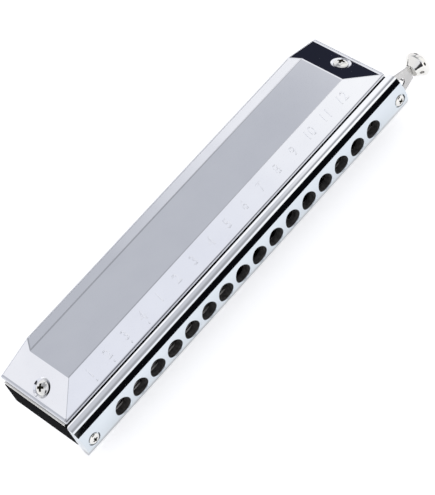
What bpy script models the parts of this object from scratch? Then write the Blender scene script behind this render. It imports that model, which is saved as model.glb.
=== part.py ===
"""Sixteen-hole slide chromatic harmonica, as an assembly of its real pieces.

Frame: metres, +Z up.  X runs along the instrument, with the slide's knob at +X and the
lowest notes at -X.  The mouthpiece faces -Y and the open backs of the covers face +Y.
The origin is the centre of the flat panel of the lower cover, which lies on the table.
"""
import math

import bmesh
import bpy
from mathutils import Matrix, Vector

# ---------------------------------------------------------------- driving dimensions
HOLES = 16
HOLE_PITCH = 0.0094
HOLE_DIAMETER = 0.0072
GAP = 0.0003                       # clearance between neighbouring pieces
BEYOND = 0.0005                    # how far a cutter runs past the face it opens
TRAVEL = HOLE_PITCH / 2            # the slide moves by half a hole
MID = 0.0138                       # height of the plane of symmetry between the covers

# Ends along X, then the half lengths of the covers
MOUTHPIECE_ENDS = (-0.0907, 0.0899)
COMB_ENDS = (-0.0902, 0.0894)
PLATE_ENDS = (-0.0900, 0.0892)
FLANGE_X = 0.0893
BASE_X = 0.0882
PANEL_X = 0.0764

# Places along Y, from the lips to the open back
FACE_Y = -0.0270
SEAT_Y = -0.0264
MOUTHPIECE_BACK_Y = -0.0203
COMB_FRONT_Y = -0.0199
PLATE_FRONT_Y = -0.0182
FLANGE_FRONT_Y = -0.0189
BASE_FRONT_Y = -0.0181
PANEL_FRONT_Y = -0.01055
PANEL_BACK_Y = 0.01055
LIP_Y = 0.0144
COMB_BACK_Y = 0.01505
PLATE_BACK_Y = 0.0149
BASE_BACK_Y = 0.0173

# Heights above and below the plane of symmetry
COMB_Z = 0.0058
PLATE_THICKNESS = 0.0009
FLANGE_Z = 0.0078
LIP_RISE = 0.0015
COVER_THICKNESS = 0.0005

# Section of the mouthpiece: a crowned face, then a small round onto the flat top
FACE_RADIUS = 0.0130
FACE_SPREAD = 36.7                 # degrees of the crown above and below its middle
SHOULDER_RADIUS = 0.0009

# Slide assembly: three thin sheets, from the comb to the mouthpiece
SHEET_Z = 0.0059
BACK_SHEET_Y = (-0.0209, -0.0202)
SLIDE_Y = (-0.0218, -0.0212)
FRONT_SHEET_Y = (-0.0227, -0.0221)
RECESS_Y = -0.0230
RECESS_Z = 0.0062
RECESS_LEFT_X = -0.0899
SHEET_LEFT_X = -0.0896
SHEET_RIGHT_X = 0.0896
WINDOW_WIDTH = 0.0045
WINDOW_Z = (0.0006, 0.0038)

# Slide, its tongue and the knob
SLIDE_LEFT_X = -0.0849
TONGUE_START_X = 0.0910
TONGUE_END_X = 0.0990
TONGUE_END_Z = 0.0034
TAB_END_X = 0.1022
TAB_Z = 0.0017
STOP_SLOT_END_X = 0.0950
KNOB_X = 0.0993
KNOB_PIN_X = 0.1009
KNOB_PIN_RADIUS = 0.0006
KNOB_PIN_HALF_LENGTH = 0.0034
KNOB_SIDES = 24
# Knob section as (radius, height) from its outer face to its neck
KNOB_PROFILE = ((0.0, 0.0072), (0.0030, 0.0070), (0.0042, 0.0061), (0.0051, 0.0051), (0.0055, 0.0042),
                (0.0055, 0.0034), (0.0050, 0.0026), (0.0033, 0.0006), (0.0028, 0.0), (0.0, 0.0))

# Screws
MOUTHPIECE_SCREW_X = 0.0861
SCREW_RADIUS = 0.0010
# Head radius, head height and shank length of the three kinds of screw
MOUTHPIECE_SCREW = (0.0025, 0.0010, 0.0125)
COVER_SCREW = (0.0028, 0.0016, 0.0078)
PLATE_SCREW = (0.0018, 0.0009, 0.0050)
PLATE_SCREW_SIDES = 10
SEAT_RADIUS = 0.0028               # flat seats for the mouthpiece screws
BUMPER_RADIUS = 0.0018
INSERT_RADIUS = 0.0021
INSERT_Y = (-0.0196, -0.0146)
COVER_SCREW_X = 0.0842
COVER_SCREW_Y = -0.0017
DIMPLE_RADIUS = 0.0041
DIMPLE_DEPTH = 0.0007
DIMPLE_FLOOR_RADIUS = 0.0032
DIMPLE_RIM = (-0.00005, -0.00042)  # top and bottom of a seat's rim, from the slope's surface
DIMPLE_WALL = 0.0002
DIMPLE_LIP = 0.0005
DIMPLE_OPENING = (-0.0011, 0.0020)  # depth and height of the opening cut for a seat
BOSS_RADIUS = 0.0035
BOSS_ROOT = 0.0010                 # how deep a boss starts inside the comb
BOSS_RISE = 0.0040                 # and how far it is drawn above the flange, then trimmed
BOSS_TRIM = 0.0080
COVER_BORE_DEPTH = 0.0085
PLATE_BORE_END_Z = 0.0012
TIP_BORE_DEPTH = 0.0022            # for the mouthpiece screws, behind their inserts
PLATE_SCREW_XY = ((-0.072, 0.0124), (-0.036, 0.0124), (0.0, 0.0124), (0.036, 0.0124),
                  (0.072, 0.0124), (-0.0815, -0.0145), (0.0785, -0.0145))

# Reeds and the comb's cells: the lowest note is at the left
CELL_WIDTH = 0.0034
CELL_FLOOR_Z = 0.0006
CELL_FRONT_Y = -0.0176             # the cells are open upwards behind this line
THROAT_TOP_Z = 0.0049              # and reach the comb's front through low throats
CELL_BACK_ROOM = 0.0006            # a cell runs this far past its reed's foot
REED_LONGEST = 0.0215
REED_SHORTEST = 0.0105
REED_WIDTH = 0.0016
REED_THICKNESS = 0.0003
REED_PAD_LENGTH = 0.0030
REED_SINK = 0.0001                 # a reed's foot is let into the plate by this much
SLOT_WIDTH = 0.0022
SLOT_FRONT_Y = -0.0160

# Return spring, lying in the right end of the comb
SPRING_X = 0.0866
SPRING_Y = -0.0085
SPRING_COIL_RADIUS = 0.0023
SPRING_WIRE_RADIUS = 0.0004
SPRING_TURNS = 2.25
SPRING_PITCH = 0.0010
SPRING_TIP_X = 0.0944
SPRING_POCKET_RADIUS = 0.0031
SPRING_PIN_RADIUS = 0.0011
SPRING_POCKET_FLOOR = -0.0019
SPRING_PIN_ROOT = 0.0022           # length of the pin below the pocket's floor
SPRING_PIN_TOP_ROOM = 0.0006
SPRING_CHANNEL_X = 0.0885          # the free leg leaves the comb right of this line
SPRING_CHANNEL_TOP = 0.0021
SPRING_NOTCH_Z = 0.0012
ANCHOR_LENGTH = 0.0058
ANCHOR_SLOT_X = 0.0800
ANCHOR_SLOT_Y = (SPRING_Y + 0.0014, SPRING_Y + 0.0030)
# Free leg of the spring after the coil: X, Y and its height as a share of the coil's top
SPRING_LEG = ((SPRING_X + SPRING_COIL_RADIUS + 0.0003, -0.0120, 0.8), (SPRING_TIP_X - 0.0022, -0.0172, 0.3),
              (SPRING_TIP_X - 0.0003, -0.0195, 0.0), (SPRING_TIP_X, -0.0204, 0.0),
              (SPRING_TIP_X, SLIDE_Y[0], 0.0))

PLATE_BOTTOM_Z = COMB_Z + GAP
PLATE_TOP_Z = PLATE_BOTTOM_Z + PLATE_THICKNESS
END_SLOPE = (MID - FLANGE_Z) / (BASE_X - PANEL_X)
END_ANGLE = math.atan(END_SLOPE)
ROUND = 20                         # sides of the larger round shapes
SMALL_ROUND = 12                   # sides of the small screws and their holes

# ---------------------------------------------------------------- scene and materials


def clear_scene():
    for item in list(bpy.data.objects):
        bpy.data.objects.remove(item, do_unlink=True)


def new_collection(name):
    collection = bpy.data.collections.new(name)
    bpy.context.scene.collection.children.link(collection)
    return collection


def finish_named(name, colour, roughness, metallic):
    material = bpy.data.materials.new(name)
    material.use_nodes = True
    shader = material.node_tree.nodes["Principled BSDF"]
    shader.inputs["Base Color"].default_value = (*colour, 1.0)
    shader.inputs["Roughness"].default_value = roughness
    shader.inputs["Metallic"].default_value = metallic
    return material


clear_scene()
PARTS = new_collection("harmonica")
CUTTERS = new_collection("cutters")
CHROME = ("chrome", (0.86, 0.87, 0.90), 0.06, 1.0)
STEEL = ("satin_steel", (0.62, 0.61, 0.60), 0.28, 1.0)
BRASS = ("brass", (0.78, 0.60, 0.30), 0.30, 1.0)
BLACK_PLASTIC = ("black_plastic", (0.012, 0.012, 0.014), 0.35, 0.0)
SILICONE = ("silicone", (0.80, 0.80, 0.78), 0.55, 0.0)

# ---------------------------------------------------------------- shape helpers


def add_object(name, mesh, collection):
    item = bpy.data.objects.new(name, mesh)
    collection.objects.link(item)
    if collection is CUTTERS:
        item.hide_render = True
        item.display_type = "WIRE"
    return item


def mesh_from(name, shape):
    """Store a bmesh as a new mesh whose faces all point out."""
    bmesh.ops.recalc_face_normals(shape, faces=shape.faces)
    mesh = bpy.data.meshes.new(name)
    shape.to_mesh(mesh)
    shape.free()
    return mesh


def boxes(name, limits, collection=None):
    """One object of separate boxes, each given as ((x0, x1), (y0, y1), (z0, z1))."""
    shape = bmesh.new()
    for spans in limits:
        centre = Vector([(low + high) / 2 for low, high in spans])
        size = [high - low for low, high in spans]
        place = Matrix.Translation(centre) @ Matrix.Diagonal((*size, 1.0))
        bmesh.ops.create_cube(shape, size=1.0, matrix=place)
    return add_object(name, mesh_from(name, shape), collection or CUTTERS)


def rods(name, placed, sides=SMALL_ROUND, collection=None):
    """One object of separate cylinders, each given as (start, end, radius)."""
    shape = bmesh.new()
    for start, end, radius in placed:
        start, end = Vector(start), Vector(end)
        turn = (end - start).to_track_quat("Z", "Y").to_matrix().to_4x4()
        bmesh.ops.create_cone(shape, cap_ends=True, segments=sides, radius1=radius, radius2=radius,
                              depth=(end - start).length,
                              matrix=Matrix.Translation((start + end) / 2) @ turn)
    return add_object(name, mesh_from(name, shape), collection or CUTTERS)


def turned(name, profile, sides=SMALL_ROUND, closed=False, collection=None):
    """A solid of revolution about local Z from (radius, height) points, top to bottom."""
    shape = bmesh.new()
    points = [shape.verts.new((radius, 0.0, height)) for radius, height in profile]
    pairs = list(zip(points, points[1:]))
    if closed:
        pairs.append((points[-1], points[0]))
    for first, second in pairs:
        shape.edges.new((first, second))
    mesh = bpy.data.meshes.new(name)
    shape.to_mesh(mesh)
    shape.free()
    item = add_object(name, mesh, collection or CUTTERS)
    screw = item.modifiers.new("turn", "SCREW")
    screw.steps = sides
    screw.render_steps = sides
    screw.use_merge_vertices = True
    screw.merge_threshold = 0.00001
    screw.use_smooth_shade = True
    return item


def extruded(name, outline, span, axes, collection=None):
    """A flat outline given thickness along one axis.

    span is the lowest and highest place along that axis.  axes is a matrix that takes the
    outline's two directions and its thickness to the object's X, Y and Z.
    """
    curve = bpy.data.curves.new(name, "CURVE")
    curve.dimensions = "2D"
    curve.fill_mode = "BOTH"
    curve.extrude = (span[1] - span[0]) / 2
    spline = curve.splines.new("POLY")
    spline.points.add(len(outline) - 1)
    for point, (across, up) in zip(spline.points, outline):
        point.co = (across, up, 0.0, 1.0)
    spline.use_cyclic_u = True
    drawn = add_object(name + "_outline", curve, CUTTERS)
    bpy.context.view_layer.update()
    evaluated = drawn.evaluated_get(bpy.context.evaluated_depsgraph_get())
    filled = bpy.data.meshes.new_from_object(evaluated)
    bpy.data.objects.remove(drawn, do_unlink=True)
    shape = bmesh.new()
    shape.from_mesh(filled)
    bmesh.ops.remove_doubles(shape, verts=shape.verts, dist=0.00001)
    middle = Matrix.Translation((0.0, 0.0, (span[0] + span[1]) / 2))
    bmesh.ops.transform(shape, matrix=axes @ middle, verts=shape.verts)
    bmesh.ops.dissolve_limit(shape, angle_limit=0.001, verts=shape.verts, edges=shape.edges)
    bpy.data.meshes.remove(filled)
    return add_object(name, mesh_from(name, shape), collection or CUTTERS)


# The outline's directions and its thickness become Y, Z and X: a bar along X.
ALONG_X = Matrix(((0, 0, 1, 0), (1, 0, 0, 0), (0, 1, 0, 0), (0, 0, 0, 1)))
# The outline's directions become X and Z, and its thickness becomes -Y: a sheet facing Y.
FACING_Y = Matrix(((1, 0, 0, 0), (0, 0, -1, 0), (0, 1, 0, 0), (0, 0, 0, 1)))


def arc(centre, radius, start, end, steps):
    """Points on an arc, angles in degrees, both ends included."""
    points = []
    for step in range(steps + 1):
        angle = math.radians(start + (end - start) * step / steps)
        points.append((centre[0] + radius * math.cos(angle), centre[1] + radius * math.sin(angle)))
    return points


def rectangle(low_x, high_x, half_height):
    return [(low_x, -half_height), (high_x, -half_height), (high_x, half_height), (low_x, half_height)]


def sheet_span(y_span):
    """Thickness span for a sheet facing Y, whose local thickness runs along -Y."""
    return (-y_span[1], -y_span[0])


def combine(target, other, operation):
    modifier = target.modifiers.new(operation.lower(), "BOOLEAN")
    modifier.object = other
    modifier.operation = operation
    modifier.solver = "EXACT"


def cut(target, *cutters):
    for cutter in cutters:
        combine(target, cutter, "DIFFERENCE")


def join(target, *others):
    for other in others:
        combine(target, other, "UNION")


def place_part(item, material, location=(0.0, 0.0, MID), rotation=(0.0, 0.0, 0.0), parent=None):
    """Move a finished piece into the instrument and give it its material."""
    if item.name not in PARTS.objects:
        for collection in list(item.users_collection):
            collection.objects.unlink(item)
        PARTS.objects.link(item)
    item.hide_render = False
    item.display_type = "TEXTURED"
    item.data.materials.append(bpy.data.materials.get(material[0]) or finish_named(*material))
    item.location = location
    item.rotation_euler = rotation
    if parent is not None:
        item.parent = parent
        item.matrix_parent_inverse = parent.matrix_world.inverted()
    return item


def place_cutters():
    """Lift every cutter with its piece: all are drawn about the plane of symmetry."""
    for cutter in CUTTERS.objects:
        if cutter.parent is None:
            cutter.location.z += MID


# ---------------------------------------------------------------- layout shared by pieces


def hole_centres():
    first = -(HOLES - 1) / 2 * HOLE_PITCH
    return [first + index * HOLE_PITCH for index in range(HOLES)]


def reed_places():
    """Centre and length of the reeds of one plate, two to a hole, from low to high notes."""
    places = []
    count = 2 * HOLES
    for index in range(count):
        x = (index - (count - 1) / 2) * HOLE_PITCH / 2
        length = REED_LONGEST + (REED_SHORTEST - REED_LONGEST) * (index / (count - 1)) ** 0.8
        places.append((x, length))
    return places


def window_boxes(y_span, shift=0.0):
    """Openings of a sheet, two rows of sixteen; the lower row is moved along X by shift."""
    deep = (y_span[0] - GAP, y_span[1] + GAP)
    half = WINDOW_WIDTH / 2
    limits = []
    for x in hole_centres():
        limits.append(((x - half, x + half), deep, WINDOW_Z))
        lower = x + shift
        limits.append(((lower - half, lower + half), deep, (-WINDOW_Z[1], -WINDOW_Z[0])))
    return limits


def cover_screw_axis(side, level):
    """Where a cover screw meets the end slope, and the slope's outward direction."""
    height = FLANGE_Z + (BASE_X - COVER_SCREW_X) * END_SLOPE
    origin = Vector((side * COVER_SCREW_X, COVER_SCREW_Y, level * height))
    outward = Vector((side * math.sin(END_ANGLE), 0.0, level * math.cos(END_ANGLE)))
    return origin, outward


SIDES = (("left", -1), ("right", 1))
LEVELS = (("upper", 1), ("lower", -1))

# ---------------------------------------------------------------- comb


def cover_boss(side, level):
    """Post on the comb that takes a cover screw, its top parallel to the cover's end slope."""
    origin, outward = cover_screw_axis(side, level)
    name = "boss_%d_%d" % (side, level)
    foot = Vector((origin.x, origin.y, level * (COMB_Z - BOSS_ROOT)))
    head = Vector((origin.x, origin.y, level * (FLANGE_Z + BOSS_RISE)))
    post = rods(name, [(foot, head, BOSS_RADIUS)], ROUND)
    below_surface = DIMPLE_DEPTH + COVER_THICKNESS + GAP
    trim = rods(name + "_trim", [(origin - outward * below_surface,
                                  origin + outward * BOSS_TRIM, BOSS_TRIM)], ROUND)
    cut(post, trim)
    return post


def build_comb():
    comb = boxes("comb", [(COMB_ENDS, (COMB_FRONT_Y, COMB_BACK_Y), (-COMB_Z, COMB_Z))])
    cells = []
    throats = []
    for x, length in reed_places():
        back = SLOT_FRONT_Y + length + REED_PAD_LENGTH + CELL_BACK_ROOM
        across = (x - CELL_WIDTH / 2, x + CELL_WIDTH / 2)
        for level in (1, -1):
            heights = sorted((level * CELL_FLOOR_Z, level * (COMB_Z + BEYOND)))
            cells.append((across, (CELL_FRONT_Y, back), tuple(heights)))
            heights = sorted((level * CELL_FLOOR_Z, level * THROAT_TOP_Z))
            throats.append((across, (COMB_FRONT_Y - BEYOND, CELL_FRONT_Y + BEYOND), tuple(heights)))
    cut(comb, boxes("comb_cells", cells), boxes("comb_throats", throats))
    join(comb, *[cover_boss(side, level) for _, side in SIDES for _, level in LEVELS])
    bores = []
    for _, side in SIDES:
        x = side * MOUTHPIECE_SCREW_X
        bores.append(((x, COMB_FRONT_Y - BEYOND, 0), (x, INSERT_Y[1] + GAP, 0), INSERT_RADIUS + GAP))
        for _, level in LEVELS:
            origin, outward = cover_screw_axis(side, level)
            bores.append((origin, origin - outward * COVER_BORE_DEPTH, SCREW_RADIUS + GAP))
    for x, y in PLATE_SCREW_XY:
        for _, level in LEVELS:
            bores.append(((x, y, level * (COMB_Z + BEYOND)), (x, y, level * PLATE_BORE_END_Z),
                          SCREW_RADIUS + GAP))
    cut(comb, rods("comb_bores", bores))
    tip_bores = [((side * MOUTHPIECE_SCREW_X, INSERT_Y[1], 0),
                  (side * MOUTHPIECE_SCREW_X, INSERT_Y[1] + TIP_BORE_DEPTH, 0), SCREW_RADIUS + GAP)
                 for _, side in SIDES]
    cut(comb, rods("comb_tip_bores", tip_bores))
    pocket = rods("spring_pocket", [((SPRING_X, SPRING_Y, SPRING_POCKET_FLOOR),
                                     (SPRING_X, SPRING_Y, COMB_Z + BEYOND), SPRING_POCKET_RADIUS)],
                  ROUND)
    pin_bore = rods("spring_pin_bore", [((SPRING_X, SPRING_Y, SPRING_POCKET_FLOOR - SPRING_PIN_ROOT - GAP),
                                         (SPRING_X, SPRING_Y, SPRING_POCKET_FLOOR + BEYOND),
                                         SPRING_PIN_RADIUS + GAP)])
    channel = boxes("spring_channel", [((SPRING_CHANNEL_X, COMB_ENDS[1] + BEYOND),
                                        (COMB_FRONT_Y - BEYOND, SPRING_Y),
                                        (SPRING_POCKET_FLOOR, SPRING_CHANNEL_TOP))])
    anchor = boxes("spring_anchor_slot", [((ANCHOR_SLOT_X, SPRING_X), ANCHOR_SLOT_Y,
                                           (SPRING_POCKET_FLOOR, COMB_Z + BEYOND))])
    cut(comb, pocket, pin_bore, channel, anchor)
    place_part(comb, BLACK_PLASTIC)


# ---------------------------------------------------------------- reed plates


def build_reed_plate(level_name, level):
    """Plate with thirty-two slots; the reeds are riveted BEYOND and inside by turns."""
    heights = tuple(sorted((level * PLATE_BOTTOM_Z, level * PLATE_TOP_Z)))
    name = level_name + "_reed_plate"
    plate = boxes(name, [(PLATE_ENDS, (PLATE_FRONT_Y, PLATE_BACK_Y), heights)])
    through = (heights[0] - BEYOND, heights[1] + BEYOND)
    slots = []
    reeds = []
    for index, (x, length) in enumerate(reed_places()):
        slots.append(((x - SLOT_WIDTH / 2, x + SLOT_WIDTH / 2),
                      (SLOT_FRONT_Y, SLOT_FRONT_Y + length), through))
        face = PLATE_TOP_Z if index % 2 else PLATE_BOTTOM_Z
        out = 1 if index % 2 else -1
        thickness = sorted((level * (face - out * REED_SINK),
                            level * (face + out * (REED_THICKNESS - REED_SINK))))
        reeds.append(((x - REED_WIDTH / 2, x + REED_WIDTH / 2),
                      (SLOT_FRONT_Y + GAP, SLOT_FRONT_Y + length + REED_PAD_LENGTH), tuple(thickness)))
    cut(plate, boxes(name + "_slots", slots))
    holes = [((x, y, through[0]), (x, y, through[1]), SCREW_RADIUS + GAP) for x, y in PLATE_SCREW_XY]
    for _, side in SIDES:
        x = side * COVER_SCREW_X
        holes.append(((x, COVER_SCREW_Y, through[0]), (x, COVER_SCREW_Y, through[1]),
                      BOSS_RADIUS + GAP))
    cut(plate, rods(name + "_holes", holes))
    join(plate, boxes(name + "_reeds", reeds))
    place_part(plate, BRASS)


# ---------------------------------------------------------------- covers


def cover_surface(name):
    """Outer surface of a cover as a grid of six columns and five rows, moved into place."""
    lip_x = PANEL_X - LIP_RISE / END_SLOPE
    columns = (-FLANGE_X, -BASE_X, -PANEL_X, PANEL_X, BASE_X, FLANGE_X)
    rows = (FLANGE_FRONT_Y, BASE_FRONT_Y, PANEL_FRONT_Y, PANEL_BACK_Y, LIP_Y)
    shape = bmesh.new()
    bmesh.ops.create_grid(shape, x_segments=len(columns) - 1, y_segments=len(rows) - 1, size=1.0)
    ordered = sorted(shape.verts, key=lambda vert: (round(vert.co.y, 3), round(vert.co.x, 3)))
    grid = [ordered[row * len(columns):(row + 1) * len(columns)] for row in range(len(rows))]
    for row, y in enumerate(rows):
        for column, x in enumerate(columns):
            inner = 2 <= column <= 3
            height = MID if inner and row >= 2 else FLANGE_Z
            if row == 4 and inner:
                x = math.copysign(lip_x, x)
                height = MID + LIP_RISE
            if row == 4 and not inner:
                y = BASE_BACK_Y
            grid[row][column].co = (x, y, height)
    for base, panel in ((1, 2), (4, 3)):
        bmesh.ops.connect_verts(shape, verts=[grid[1][base], grid[2][panel]])
    bmesh.ops.recalc_face_normals(shape, faces=shape.faces)
    if sum((face.normal * face.calc_area() for face in shape.faces), Vector()).z < 0:
        bmesh.ops.reverse_faces(shape, faces=shape.faces)
    mesh = bpy.data.meshes.new(name)
    shape.to_mesh(mesh)
    shape.free()
    return add_object(name, mesh, CUTTERS)


def screw_dimple(name, side):
    """Dished seat for the head of a cover screw, its axis square to the end slope."""
    floor = -DIMPLE_DEPTH
    under = floor - COVER_THICKNESS
    profile = [(DIMPLE_RADIUS, DIMPLE_RIM[0]), (DIMPLE_RADIUS, DIMPLE_RIM[1]),
               (DIMPLE_FLOOR_RADIUS + DIMPLE_WALL, under),
               (SCREW_RADIUS + GAP, under), (SCREW_RADIUS + GAP, floor), (DIMPLE_FLOOR_RADIUS, floor),
               (DIMPLE_RADIUS - DIMPLE_LIP, DIMPLE_RIM[0])]
    seat = turned(name, profile, ROUND, closed=True)
    origin, _ = cover_screw_axis(side, 1)
    seat.location = origin
    seat.rotation_euler = (0.0, side * END_ANGLE, 0.0)
    return seat


def build_cover(level_name, level):
    """Pressed sheet cover; both covers are the same pressing, the lower one turned over."""
    name = level_name + "_cover"
    cover = cover_surface(name)
    sheet = cover.modifiers.new("sheet", "SOLIDIFY")
    sheet.thickness = COVER_THICKNESS
    sheet.offset = -1.0
    sheet.use_even_offset = True
    for side_name, side in SIDES:
        origin, outward = cover_screw_axis(side, 1)
        opening = rods("%s_opening_%s" % (name, side_name),
                       [(origin + outward * DIMPLE_OPENING[0], origin + outward * DIMPLE_OPENING[1],
                         DIMPLE_RADIUS - DIMPLE_WALL)],
                       ROUND)
        seat = screw_dimple("%s_seat_%s" % (name, side_name), side)
        cut(cover, opening)
        join(cover, seat)
        if level < 0:
            for helper in (opening, seat):
                helper.parent = cover
    turn = (0.0, 0.0 if level > 0 else math.pi, 0.0)
    place_part(cover, CHROME, rotation=turn)


# ---------------------------------------------------------------- mouthpiece


def mouthpiece_outline():
    """Section in Y and Z: flat top and bottom, small shoulders and a crowned face."""
    crown = (FACE_Y + FACE_RADIUS, 0.0)
    inset = FACE_RADIUS - SHOULDER_RADIUS
    shoulder = arc(crown, inset, 180 - FACE_SPREAD, 180 - FACE_SPREAD, 1)[0]
    face = arc(crown, FACE_RADIUS, 180 + FACE_SPREAD, 180 - FACE_SPREAD, 8)
    upper = arc(shoulder, SHOULDER_RADIUS, 180 - FACE_SPREAD, 90, 3)[1:]
    lower = [(y, -z) for y, z in reversed(upper)]
    top = upper[-1][1]
    return [(MOUTHPIECE_BACK_Y, -top)] + lower + face + upper + [(MOUTHPIECE_BACK_Y, top)]


def build_mouthpiece():
    mouthpiece = extruded("mouthpiece", mouthpiece_outline(), MOUTHPIECE_ENDS, ALONG_X)
    recess = boxes("mouthpiece_recess", [((RECESS_LEFT_X, MOUTHPIECE_ENDS[1] + BEYOND),
                                          (RECESS_Y, MOUTHPIECE_BACK_Y + BEYOND),
                                          (-RECESS_Z, RECESS_Z))])
    bores = [((x, FACE_Y - BEYOND, 0), (x, RECESS_Y + BEYOND, 0), HOLE_DIAMETER / 2)
             for x in hole_centres()]
    seats = []
    for _, side in SIDES:
        x = side * MOUTHPIECE_SCREW_X
        bores.append(((x, SEAT_Y - BEYOND, 0), (x, RECESS_Y + BEYOND, 0), SCREW_RADIUS + GAP))
        seats.append(((x, FACE_Y - BEYOND, 0), (x, SEAT_Y, 0), SEAT_RADIUS))
    cut(mouthpiece, recess, rods("mouthpiece_bores", bores, ROUND), rods("screw_seats", seats, ROUND))
    place_part(mouthpiece, CHROME)


# ---------------------------------------------------------------- slide assembly


def bumper_holes(y_span):
    deep = (y_span[0] - GAP, y_span[1] + GAP)
    return [((side * MOUTHPIECE_SCREW_X, deep[0], 0), (side * MOUTHPIECE_SCREW_X, deep[1], 0),
             BUMPER_RADIUS + GAP) for _, side in SIDES]


def build_sheets():
    """Fixed sheets behind and in front of the slide."""
    outline = rectangle(SHEET_LEFT_X, SHEET_RIGHT_X, SHEET_Z)
    back = extruded("slide_back_plate", outline, sheet_span(BACK_SHEET_Y), FACING_Y)
    spring_notch = ((SPRING_CHANNEL_X, SHEET_RIGHT_X + BEYOND),
                    (BACK_SHEET_Y[0] - GAP, BACK_SHEET_Y[1] + GAP), (-SPRING_NOTCH_Z, SPRING_NOTCH_Z))
    cut(back, boxes("back_windows", window_boxes(BACK_SHEET_Y) + [spring_notch]),
        rods("back_holes", bumper_holes(BACK_SHEET_Y)))
    place_part(back, STEEL)
    front = extruded("slide_front_plate", outline, sheet_span(FRONT_SHEET_Y), FACING_Y)
    half = WINDOW_WIDTH / 2
    deep = (FRONT_SHEET_Y[0] - GAP, FRONT_SHEET_Y[1] + GAP)
    mouths = [((x - half, x + half), deep, (-WINDOW_Z[1], WINDOW_Z[1])) for x in hole_centres()]
    cut(front, boxes("front_windows", mouths), rods("front_holes", bumper_holes(FRONT_SHEET_Y)))
    place_part(front, STEEL)


def slide_outline():
    """Slide in X and Z: a notch at the left, a tapered tongue and a narrow tab at the right."""
    notch = BUMPER_RADIUS + GAP
    notch_x = -MOUTHPIECE_SCREW_X + TRAVEL
    upper = [(SLIDE_LEFT_X, notch), (SLIDE_LEFT_X, SHEET_Z), (TONGUE_START_X, SHEET_Z),
             (TONGUE_END_X, TONGUE_END_Z), (TONGUE_END_X, TAB_Z), (TAB_END_X, TAB_Z)]
    lower = [(x, -z) for x, z in reversed(upper)]
    return upper + lower + arc((notch_x, 0.0), notch, -90, 90, 8)


def stop_slot_outline():
    """Slot round the right bumper, which stops the slide, and round the spring's tip."""
    radius = BUMPER_RADIUS + GAP
    left = arc((MOUTHPIECE_SCREW_X, 0.0), radius, 90, 270, 8)
    right = arc((STOP_SLOT_END_X - radius, 0.0), radius, -90, 90, 8)
    return left + right


def build_slide(axis):
    slide = extruded("slide", slide_outline(), sheet_span(SLIDE_Y), FACING_Y)
    deep = (SLIDE_Y[0] - GAP, SLIDE_Y[1] + GAP)
    slot = extruded("stop_slot", stop_slot_outline(), sheet_span(deep), FACING_Y)
    pin_hole = rods("tab_hole", [((KNOB_PIN_X, deep[0], 0), (KNOB_PIN_X, deep[1], 0),
                                  KNOB_PIN_RADIUS + GAP)])
    cut(slide, boxes("slide_windows", window_boxes(SLIDE_Y, TRAVEL)), slot, pin_hole)
    place_part(slide, STEEL, parent=axis)


def build_knob(axis):
    """Turned knob with a conical back, slit for the slide's tab and cross-pinned."""
    centre_y = sum(SLIDE_Y) / 2
    knob = turned("knob", KNOB_PROFILE, KNOB_SIDES)
    slit_half = (SLIDE_Y[1] - SLIDE_Y[0]) / 2 + GAP
    slit = boxes("knob_slit", [((KNOB_X - BEYOND, TAB_END_X + GAP),
                                (centre_y - slit_half, centre_y + slit_half),
                                (-TAB_Z - GAP, TAB_Z + GAP))])
    reach = 2 * KNOB_PIN_HALF_LENGTH
    pin_hole = rods("knob_pin_hole", [((KNOB_PIN_X, centre_y - reach, 0),
                                       (KNOB_PIN_X, centre_y + reach, 0), KNOB_PIN_RADIUS + GAP)])
    cut(knob, slit, pin_hole)
    place_part(knob, CHROME, (KNOB_X, centre_y, MID), (0.0, math.pi / 2, 0.0), axis)
    pin = rods("knob_pin", [((0, -KNOB_PIN_HALF_LENGTH, 0), (0, KNOB_PIN_HALF_LENGTH, 0),
                             KNOB_PIN_RADIUS)], collection=PARTS)
    place_part(pin, STEEL, (KNOB_PIN_X, centre_y, MID), parent=axis)


# ---------------------------------------------------------------- fasteners and bumpers


def screw_profile(head_radius, head_height, shank_length):
    """Pan head above height 0 and a plain shank below it."""
    edge = head_height * 0.45
    tip = SCREW_RADIUS / 2
    return [(0.0, head_height), (head_radius * 0.62, head_height * 0.93), (head_radius * 0.92, edge * 1.5),
            (head_radius, edge), (head_radius, 0.0), (SCREW_RADIUS, 0.0),
            (SCREW_RADIUS, -shank_length + tip), (SCREW_RADIUS * 0.6, -shank_length),
            (0.0, -shank_length)]


def build_mouthpiece_fasteners():
    head_y = SEAT_Y - GAP
    for side_name, side in SIDES:
        x = side * MOUTHPIECE_SCREW_X
        screw = turned("mouthpiece_screw_" + side_name, screw_profile(*MOUTHPIECE_SCREW))
        place_part(screw, CHROME, (x, head_y, MID), (math.pi / 2, 0.0, 0.0))
        inner = SCREW_RADIUS + GAP
        long_half = (INSERT_Y[1] - INSERT_Y[0]) / 2
        insert = turned("mouthpiece_insert_" + side_name,
                        [(INSERT_RADIUS, long_half), (INSERT_RADIUS, -long_half),
                         (inner, -long_half), (inner, long_half)], closed=True)
        place_part(insert, BRASS, (x, sum(INSERT_Y) / 2, MID), (math.pi / 2, 0.0, 0.0))
        span = (RECESS_Y + GAP, COMB_FRONT_Y - GAP)
        half = (span[1] - span[0]) / 2
        bumper = turned("bumper_" + side_name, [(BUMPER_RADIUS, half), (BUMPER_RADIUS, -half),
                                                (inner, -half), (inner, half)], closed=True)
        place_part(bumper, SILICONE, (x, sum(span) / 2, MID), (math.pi / 2, 0.0, 0.0))


def build_cover_screws():
    for level_name, level in LEVELS:
        for side_name, side in SIDES:
            origin, outward = cover_screw_axis(side, level)
            seat = origin - outward * (DIMPLE_DEPTH - GAP)
            screw = turned("cover_screw_%s_%s" % (level_name, side_name), screw_profile(*COVER_SCREW))
            turn = outward.to_track_quat("Z", "Y").to_euler()
            place_part(screw, CHROME, seat + Vector((0.0, 0.0, MID)), turn)


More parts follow.
